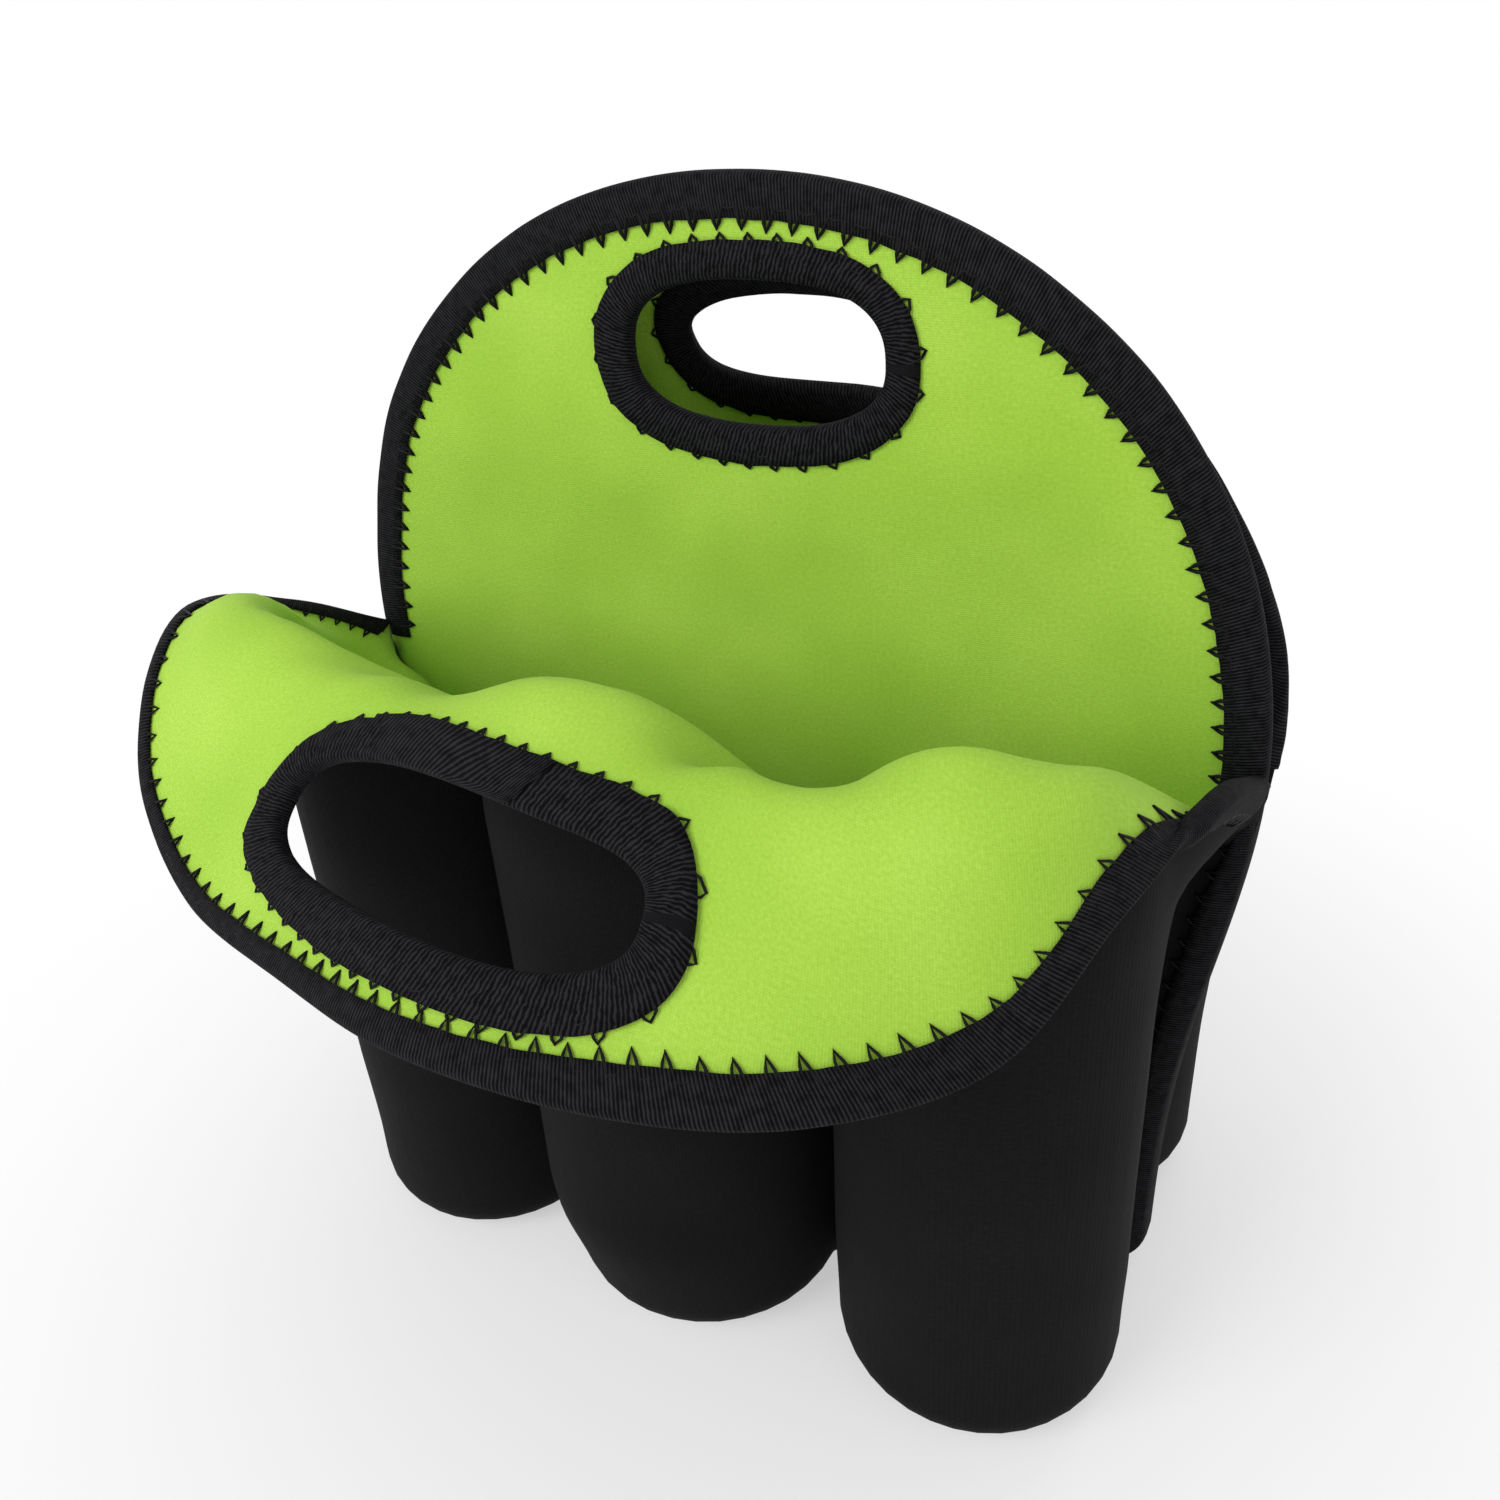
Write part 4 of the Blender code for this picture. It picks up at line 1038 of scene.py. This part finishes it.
def web_outline():
    """Outline of a partition: run out from the divider, and height."""
    root, top = DIVIDER / 2 + FIT, MOUTH_HEIGHT - WEB_TOP_DROP
    radius = HEEL - INSIDE - FIT
    outer = AXIS_Y - VALLEY - INSIDE - FIT
    outline = [Vector((root, LIFT))]
    for i in range(WEB_HEEL_STEPS + 1):
        turn = math.pi / 2 * i / WEB_HEEL_STEPS
        outline.append(Vector((outer - radius * (1 - math.sin(turn)),
                               LIFT + radius * (1 - math.cos(turn)))))
    for i in range(1, WEB_WALL_STEPS + 1):
        outline.append(Vector((outer, LIFT + radius + (top - LIFT - radius) * i / WEB_WALL_STEPS)))
    for i in range(1, WEB_TOP_STEPS + 1):
        outline.append(Vector((outer + (root - outer) * i / WEB_TOP_STEPS, top)))
    return outline


for row, turn in (("front", -1), ("back", 1)):
    for side, middle in (("left", -PITCH / 2), ("right", PITCH / 2)):
        def upright(spot, middle=middle, turn=turn):
            seed = middle * SWAY_SEED + turn
            wave = noise.noise(Vector((spot.x / SWAY_ACROSS, spot.y / SWAY_UP, seed)))
            sway = WEB_SWAY * wave * smooth(spot.y / SWAY_UP)
            return Vector((middle + sway, turn * spot.x, spot.y))
        flat_piece(f"{row}_web_{side}_sheet", web_outline(), WEB_PITCH, upright, WEB,
                   LIME_KNIT)


# Base: the flat black panel that the bag stands on and its lime lining, both
# sewn to the feet of the pocket walls.

BASE_PITCH = 0.005           # spacing of the base's mesh
PANEL_OVERLAP = 0.0004       # how far the base panel lies under the walls' feet
LINING_OVERLAP = 0.0006      # and its lining


def base_outline(overlap):
    """Outline of a base layer, sewn a little under the feet of the walls."""
    z, inset = heel_at(0)
    outline = []
    for back in (False, True):
        places = refined(lobe_places())
        for place in (places[::-1] if back else places)[1:-1]:
            spot, inward, draw = plan_at(place, z, back)
            moved = spot + draw * inset - inward * overlap
            outline.append(Vector((moved.x, moved.y)))
    return outline


flat_piece("base_panel_sheet", base_outline(PANEL_OVERLAP), BASE_PITCH,
           lambda spot: Vector((spot.x, spot.y, SHELL / 2)), SHELL, BLACK_KNIT)
flat_piece("base_lining_sheet", base_outline(LINING_OVERLAP), BASE_PITCH,
           lambda spot: Vector((spot.x, spot.y, BASE_TOP - LINING / 2)), LINING, LIME_KNIT)


# Binding: a ribbed black tape folded over every cut edge of the arches and
# handle holes, and over both side seams, held by zigzag stitches of thread.

WAVE_PERIOD = 0.314          # pitch of a wave texture's bands times its scale
TAPE_GRAIN, RIB_SHARE = 420, 0.55
RIB_HEIGHT, RIB_STRENGTH = 0.00035, 0.6
TWIST_SCALE = 2600           # twist of the thread, 0.4 mm
TWIST_HEIGHT, TWIST_STRENGTH = 0.0001, 0.4
TAPE_NAP, TAPE_NAP_ROUGHNESS, TAPE_SPECULAR = 0.01, 0.4, 0.05


def ribbed_tape(name, pitch, slant, rough, waver):
    """Grosgrain tape: fine ribs across it, with a painted highlight on their tops."""
    made, tree, shader = add_material(name, rough, TAPE_NAP, TAPE_NAP_ROUGHNESS, TAPE_SPECULAR)
    run = add_node(tree, "ShaderNodeUVMap", uv_map="cloth").outputs["UV"]
    turned = add_node(tree, "ShaderNodeMapping", {"Vector": run, "Rotation": (0, 0, slant)})
    grain = add_noise(tree, run, TAPE_GRAIN, 3, 0.65)
    ribs = add_wave(tree, turned.outputs["Vector"], WAVE_PERIOD / pitch, waver, "X", 2)
    height = add_math(tree, "MULTIPLY_ADD", ribs, RIB_SHARE, grain)
    # Rib tops are painted lighter, a painted highlight; the grain adds the tape's own uneven tone
    stops = ((0.35, "#060607"), (0.72, "#0E0E10"), (1.0, "#29292C"))
    tree.links.new(ramp(tree, height, stops), shader.inputs["Base Color"])
    add_bump(tree, shader, height, RIB_STRENGTH, RIB_HEIGHT)
    return made


def spun_thread():
    """Black polyester thread with its twist."""
    made, tree, shader = add_material("black_thread", 0.6, 0.02, 0.4, 0.15)
    shader.inputs["Base Color"].default_value = linear("#09090A")
    run = add_node(tree, "ShaderNodeNewGeometry").outputs["Position"]
    add_bump(tree, shader, add_noise(tree, run, TWIST_SCALE), TWIST_STRENGTH, TWIST_HEIGHT)
    return made


# Even tape of the long edges, with a rib every 0.74 mm; the same tape pulled
# round the tight holes, where its ribs crumple; and the sewing thread
BINDING = ribbed_tape("black_grosgrain_tape", 0.00074, 0.14, 0.8, 0.7)
HOLE_BINDING = ribbed_tape("black_crinkled_tape", 0.0011, 0.3, 0.85, 3.0)
THREAD = spun_thread()

TAPE = 0.0007                # thickness of the tape
TAPE_LIFT = 0.00050          # its middle above the cloth's face
TAPE_ROLL = 0.0013           # how far it stands out past the edge
ROLL_ANGLES = (75, 45, 15, -15, -45, -75)
LAND_SHARES = (1, 0.66, 0.33)          # points across each face
PUFF = (0, 0.00025, 0.0002)            # and how far they puff up
WANDER_LENGTH, WANDER = 0.006, 0.05    # waves of the tape's inner edge
WANDER_SEED = 1000                     # sets them apart from tape to tape
CRUMPLE_LENGTH = 0.0028                # length of a crumple
FLAT_TAPE, HOLE_CRUMPLE, DIVIDER_HOLE_CRUMPLE = 0.0001, 0.0008, 0.0006


def tape_shape(rows, closed):
    """Strip through rows of points, with running lengths as its flat places."""
    shape = bmesh.new()
    where = {}
    verts, run = [], 0
    for k, row in enumerate(rows):
        if k:
            run += (row[0] - rows[k - 1][0]).length
        line, across = [], 0
        for i, point in enumerate(row):
            if i:
                across += (point - row[i - 1]).length
            vert = shape.verts.new(point)
            where[vert] = (run, across)
            line.append(vert)
        verts.append(line)
    pairs = list(zip(verts, verts[1:])) + ([(verts[-1], verts[0])] if closed else [])
    for one, two in pairs:
        for i in range(len(one) - 1):
            shape.faces.new([one[i], one[i + 1], two[i + 1], two[i]])
    set_uv(shape, where)
    return shape


def tape_row(cloth, spot, inward, land, depths, crinkle):
    """Points across a tape folded over an edge, from its shell side to its lining side."""
    outside, inside = depths
    rim = cloth.point(spot)
    lands = []
    for share in LAND_SHARES:
        at = spot + inward * land * share
        lands.append((cloth.point(at), cloth.normal(at)))
    out = (rim - lands[0][0]).normalized()
    normal = lands[2][1]
    row = [point + side * (outside + TAPE_LIFT + rise + crinkle[i])
           for i, ((point, side), rise) in enumerate(zip(lands, PUFF))]
    for angle in ROLL_ANGLES:
        turn = math.radians(angle)
        depth = (outside if angle > 0 else inside) + TAPE_LIFT
        row.append(rim + normal * (depth * math.sin(turn)) + out * (TAPE_ROLL * math.cos(turn)))
    row += [point - side * (inside + TAPE_LIFT + rise + crinkle[3 + i])
            for i, ((point, side), rise) in enumerate(zip(reversed(lands), reversed(PUFF)))]
    return row


def tape_rows(cloth, path, land, depths, crumple):
    """Rows of a whole tape; crumple makes a hole's tape uneven."""
    spots, inwards, closed = path
    seed = land * WANDER_SEED
    rows = []
    for spot, inward in zip(spots, inwards):
        x, y = spot
        wander = noise.noise(Vector((x / WANDER_LENGTH, y / WANDER_LENGTH, seed)))
        crinkle = [crumple * abs(noise.noise(Vector((x / CRUMPLE_LENGTH, y / CRUMPLE_LENGTH, seed + k))))
                   for k in range(6)]
        reach = land * (1 + WANDER * wander) * cloth.cover(spot, closed)
        rows.append(tape_row(cloth, spot, inward, reach, depths, crinkle))
    return rows


STITCH_PITCH = 0.0066        # one tooth of the zigzag to the next
THREAD_RADIUS = 0.00034
THREAD_SIDES = 5
REACH_JITTER, PITCH_JITTER = 0.25, 0.04   # unevenness of the teeth
TOOTH_SEED, SIDE_SEED, LAND_SEED = 0.7, 3, 900   # steps of that noise
STITCH_SINK = 0.8            # stitches lie this share of their height, pulled tight
THREAD_UP = (0.31, 0.52, 0.79)   # no run of thread lies along this direction

# One tooth: share of the pitch, run back on the tape, share of the tooth's
# reach onto the cloth, and height over the cloth
TOOTH = (
    (0.00, -0.0024, 0.0, 2.1),
    (0.18, 0.0, 0.3, 1.4),
    (0.34, 0.0, 1.0, 0.5),
    (0.40, 0.0, 0.3, 1.4),
    (0.46, -0.0026, 0.0, 2.1),
    (0.73, -0.0020, 0.0, 2.0),
)


def thread_shape(paths, radius):
    """Round thread along several paths."""
    shape = bmesh.new()
    angles = [2 * math.pi * k / THREAD_SIDES for k in range(THREAD_SIDES)]
    for path in paths:
        rings = []
        for i, point in enumerate(path):
            ahead = (path[min(i + 1, len(path) - 1)] - path[max(i - 1, 0)]).normalized()
            side = ahead.cross(Vector(THREAD_UP)).normalized()
            up = ahead.cross(side)
            rings.append([shape.verts.new(point + side * (radius * math.cos(angle))
                                          + up * (radius * math.sin(angle))) for angle in angles])
        for one, two in zip(rings, rings[1:]):
            for k in range(THREAD_SIDES):
                after = (k + 1) % THREAD_SIDES
                shape.faces.new([one[k], one[after], two[after], two[k]])
    return shape


def running_spots(path):
    """Function from a running length to a spot and inward, and the whole length."""
    spots, inwards = list(path[0]), list(path[1])
    if path[2]:
        spots.append(spots[0])
        inwards.append(inwards[0])
    runs = running(spots)

    def at(run):
        i, share = located(runs, run)
        return spots[i].lerp(spots[i + 1], share), inwards[i].lerp(inwards[i + 1], share).normalized()

    return at, runs[-1]


def zigzag_paths(cloth, path, land, depths, reach):
    """Zigzag along a tape on both faces: feet on the tape, tips on the cloth."""
    at, whole = running_spots(path)
    count = max(int(whole / STITCH_PITCH), 1)
    step = whole / count
    threads = []
    for side, depth in zip((1, -1), depths):
        thread = []
        for i in range(count):
            jitter = noise.noise(Vector((i * TOOTH_SEED, side * SIDE_SEED, land * LAND_SEED)))
            tip = reach * (1 + REACH_JITTER * jitter)
            for share, back, out, lift in TOOTH:
                spot, inward = at(min((i + share + PITCH_JITTER * jitter) * step, whole))
                foot = spot + inward * (land * cloth.cover(spot, path[2]) + (back + out * tip))
                thread.append(cloth.point(foot) + cloth.normal(foot) * side
                              * (depth + TAPE_LIFT * lift * STITCH_SINK))
        threads.append(thread)
    return threads


def bind(name, cloth, path, land, depths, bodies, fold, nodes, finish, crumple, teeth,
         thread=THREAD_RADIUS):
    """A tape round an edge and its stitches; a path is spots, their directions into
    the cloth, and whether it closes."""
    shape = tape_shape(tape_rows(cloth, path, land, depths, crumple), path[2])
    tape = cloth_object(name, shape, finish)
    shape.free()
    add_thickness(tape, TAPE)
    shape = thread_shape(zigzag_paths(cloth, path, land, depths, teeth), thread)
    stitches = cloth_object(name + "_stitches", shape, THREAD)
    shape.free()
    for piece in (tape, stitches):
        if fold:
            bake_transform(piece)
        else:
            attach(piece, bodies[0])
    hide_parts(*nodes)


def rim_path(cloth, count):
    """Path along an arch's edge."""
    rim = cloth.rim(count)
    return rim, [cloth.inward(spot) for spot in rim], False


def ring_path(hole, count):
    """Path round a handle hole."""
    return *hole_rim(hole, count), True


OUTER_DEPTHS = (OUTSIDE, INSIDE)       # cloth's faces from its seam line
EDGE_LAND, EDGE_TOOTH = 0.0072, 0.0026
HOLE_LAND, HOLE_TOOTH = 0.0098, 0.0014
RIM_COUNT, RING_COUNT = 200, 120       # rows of tape along an arch and round a hole

for row, cloth, fold in (("front", FRONT_CLOTH, FRONT_FOLD), ("back", BACK_CLOTH, BACK_FOLD)):
    bodies = ("pockets", row + "_flap")
    bind(row + "_edge_tape", cloth, rim_path(cloth, RIM_COUNT), EDGE_LAND, OUTER_DEPTHS, bodies, fold,
         (row + "_flap_edge_tape", row + "_collar_tape_left", row + "_collar_tape_right"),
         BINDING, FLAT_TAPE, EDGE_TOOTH)
    bind(row + "_handle_tape", cloth, ring_path(cloth.hole, RING_COUNT), HOLE_LAND, OUTER_DEPTHS,
         bodies, fold, (row + "_flap_handle_tape",), HOLE_BINDING, HOLE_CRUMPLE, HOLE_TOOTH)


# Joint of the front hole's tape: its end is laid over its start, cut on the
# slant and caught by the same stitches.

LAP_LAND = 0.0100
LAP_TAPE = 0.0006            # its thickness, pressed flat
LAP_RISE = 0.0009            # height of its end over the tape below
LAP_NARROWED = 0.1           # share of its width that it lacks at its start
LAP_START, LAP_END = 78, 90  # steps round the hole
LAP_SLANT = 6                # and steps by which the outside end lies further on
LAP_ROWS, LAP_COLUMNS = 24, 11


def lap_shape(cloth):
    """Short run of tape lying on a hole's tape, with a slanted end."""
    ring, outwards = hole_rim(cloth.hole, RING_COUNT)
    rows = []
    for k in range(LAP_ROWS + 1):
        row = []
        started = smooth(k / (LAP_ROWS / 2))
        depths = [depth + LAP_RISE * started for depth in OUTER_DEPTHS]
        for i in range(LAP_COLUMNS + 1):
            end = LAP_END + LAP_SLANT * i / LAP_COLUMNS
            place = LAP_START + (end - LAP_START) * k / LAP_ROWS
            one, share = int(place), place - int(place)
            spot = ring[one].lerp(ring[one + 1], share)
            outward = outwards[one].lerp(outwards[one + 1], share).normalized()
            reach = LAP_LAND * (1 - LAP_NARROWED + LAP_NARROWED * started)
            row.append(tape_row(cloth, spot, outward, reach, depths, [0] * 6)[i])
        rows.append(row)
    return tape_shape(rows, False)


shape = lap_shape(FRONT_CLOTH)
lap = cloth_object("front_handle_tape_lap", shape, BINDING)
shape.free()
add_thickness(lap, LAP_TAPE)
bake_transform(lap)


# Divider's tapes: the same tape and a thicker thread, over the arch of the
# thicker sheet and round its handle hole.

DIVIDER_DEPTHS = (DIVIDER / 2, DIVIDER / 2)
DIVIDER_EDGE_LAND, DIVIDER_EDGE_TOOTH = 0.0080, 0.0024
DIVIDER_HOLE_LAND, DIVIDER_HOLE_TOOTH = 0.0072, 0.0012
DIVIDER_EDGE_THREAD, DIVIDER_HOLE_THREAD = 0.00048, 0.00040
DIVIDER_RIM_COUNT, DIVIDER_RING_COUNT = 160, 100
DIVIDER_BODIES = ("pockets", "divider_flap")

bind("divider_edge_tape", DIVIDER_CLOTH, rim_path(DIVIDER_CLOTH, DIVIDER_RIM_COUNT),
     DIVIDER_EDGE_LAND, DIVIDER_DEPTHS, DIVIDER_BODIES, DIVIDER_FOLD, ("divider_flap_edge_tape",),
     BINDING, FLAT_TAPE, DIVIDER_EDGE_TOOTH, DIVIDER_EDGE_THREAD)
bind("divider_handle_tape", DIVIDER_CLOTH, ring_path(DIVIDER_CUT_HOLE, DIVIDER_RING_COUNT),
     DIVIDER_HOLE_LAND, DIVIDER_DEPTHS, DIVIDER_BODIES, DIVIDER_FOLD,
     ("divider_flap_handle_tape",), HOLE_BINDING, DIVIDER_HOLE_CRUMPLE, DIVIDER_HOLE_TOOTH,
     DIVIDER_HOLE_THREAD)


# Side seams: the edges of both rows and the divider between them, closed in
# one tape from the floor to the mouth.

SEAM_LAND, SEAM_TOOTH = 0.0062, 0.0018
SEAM_TOP_DROP = 0.0025       # tape's end below the mouth
SEAM_STEPS = 70
NARROW_FROM, NARROW_OVER, NARROW_BY = 0.125, 0.030, 0.6   # where and how it narrows upwards


class SeamCloth:
    """Sewn side seam as a surface: run inwards from the seam's edge, and height."""

    def __init__(self, turn):
        self.turn = turn

    def cover(self, spot, hole):
        return 1 - NARROW_BY * smooth((spot[1] - NARROW_FROM) / NARROW_OVER)

    def point(self, spot):
        return Vector((self.turn * (divider_half(spot[1]) - spot[0]), 0, spot[1]))

    def normal(self, spot):
        return Vector((0, -self.turn, 0))


heights = [LIFT + (MOUTH_HEIGHT - SEAM_TOP_DROP - LIFT) * i / SEAM_STEPS for i in range(SEAM_STEPS + 1)]
seam = ([Vector((0, z)) for z in heights], [Vector((1, 0))] * len(heights), False)
for side, turn in (("left", -1), ("right", 1)):
    bind(f"side_seam_tape_{side}_sewn", SeamCloth(turn), seam, SEAM_LAND,
         (SEAM_Y + OUTSIDE, SEAM_Y + OUTSIDE), ("pockets",), None, ("side_seam_tape_" + side,),
         BINDING, FLAT_TAPE, SEAM_TOOTH)


# Studio: pale floor and soft light from large lamps, all outside the part.

FLOOR_RADIUS, FLOOR_SIDES = 6, 96
FLOOR_DROP = 0.0002
FADE_FROM, FADE_TO = 0.10, 0.36   # where the floor turns to white round the bag
FADE_LEAST = 0.5
SOFT_LIGHT = 0.6

# Lamps: name, place, point they face, size, and power in watts
LAMPS = (
    ("key_lamp", (-0.55, -1.10, 0.85), (0, -0.02, 0.15), 0.8, 10),
    ("fill_lamp", (1.1, -0.6, 0.7), (0, 0, 0.12), 0.9, 2),
    ("back_lamp", (0.2, 1.0, 0.9), (0, 0, 0.15), 0.8, 3),
)


def add_lamp(name, place, aim, size, power):
    """Soft square lamp turned to a point."""
    lamp = bpy.data.lights.new(name, "AREA")
    lamp.size = size
    lamp.energy = power
    lamp.color = linear("#FFFFFF")[:3]
    holder = bpy.data.objects.new(name, lamp)
    holder.location = place
    holder.rotation_mode = "QUATERNION"
    holder.rotation_quaternion = (Vector(place) - Vector(aim)).to_track_quat("Z", "Y")
    bpy.context.scene.collection.objects.link(holder)


def seen_directly(tree):
    """1 for what is seen itself, in gloss or through glass."""
    path = add_node(tree, "ShaderNodeLightPath")
    either = add_math(tree, "MAXIMUM", path.outputs["Is Camera Ray"], path.outputs["Is Glossy Ray"])
    return add_math(tree, "MAXIMUM", either, path.outputs["Is Transmission Ray"])


def mix_shaders(tree, share, plain, bright, output):
    """Mix two shaders by a share into the output."""
    mixed = add_node(tree, "ShaderNodeMixShader", {0: share, 1: plain.outputs[0], 2: bright.outputs[0]})
    tree.links.new(mixed.outputs[0], tree.nodes[output].inputs["Surface"])


shape = bmesh.new()
bmesh.ops.create_circle(shape, cap_ends=True, radius=FLOOR_RADIUS, segments=FLOOR_SIDES)
mesh = bpy.data.meshes.new("floor")
shape.to_mesh(mesh)
shape.free()
floor = bpy.data.objects.new("floor", mesh)
floor.location.z = -FLOOR_DROP
bpy.context.scene.collection.objects.link(floor)
pale, tree, shader = add_material("pale_floor", 0.9, 0, 0.5, 0.1)
shader.inputs["Base Color"].default_value = linear("#F4F4F4")
here = add_node(tree, "ShaderNodeNewGeometry").outputs["Position"]
far = add_node(tree, "ShaderNodeVectorMath", {0: here}, operation="LENGTH")
fade = add_node(tree, "ShaderNodeMapRange",
                {"Value": far.outputs["Value"], "From Min": FADE_FROM, "From Max": FADE_TO,
                 "To Min": FADE_LEAST}, interpolation_type="SMOOTHSTEP")
share = add_math(tree, "MULTIPLY", fade.outputs["Result"], seen_directly(tree))
glow = add_node(tree, "ShaderNodeEmission", {"Color": linear("#FFFFFF"), "Strength": 1})
mix_shaders(tree, share, shader, glow, "Material Output")
mesh.materials.append(pale)

world = bpy.data.worlds.new("studio")
world.use_nodes = True
bpy.context.scene.world = world
tree = world.node_tree
soft = tree.nodes["Background"]
soft.inputs["Color"].default_value = linear("#FFFFFF")
soft.inputs["Strength"].default_value = SOFT_LIGHT
white = add_node(tree, "ShaderNodeBackground", {"Color": linear("#FFFFFF"), "Strength": 1})
mix_shaders(tree, seen_directly(tree), soft, white, "World Output")
for lamp in LAMPS:
    add_lamp(*lamp)
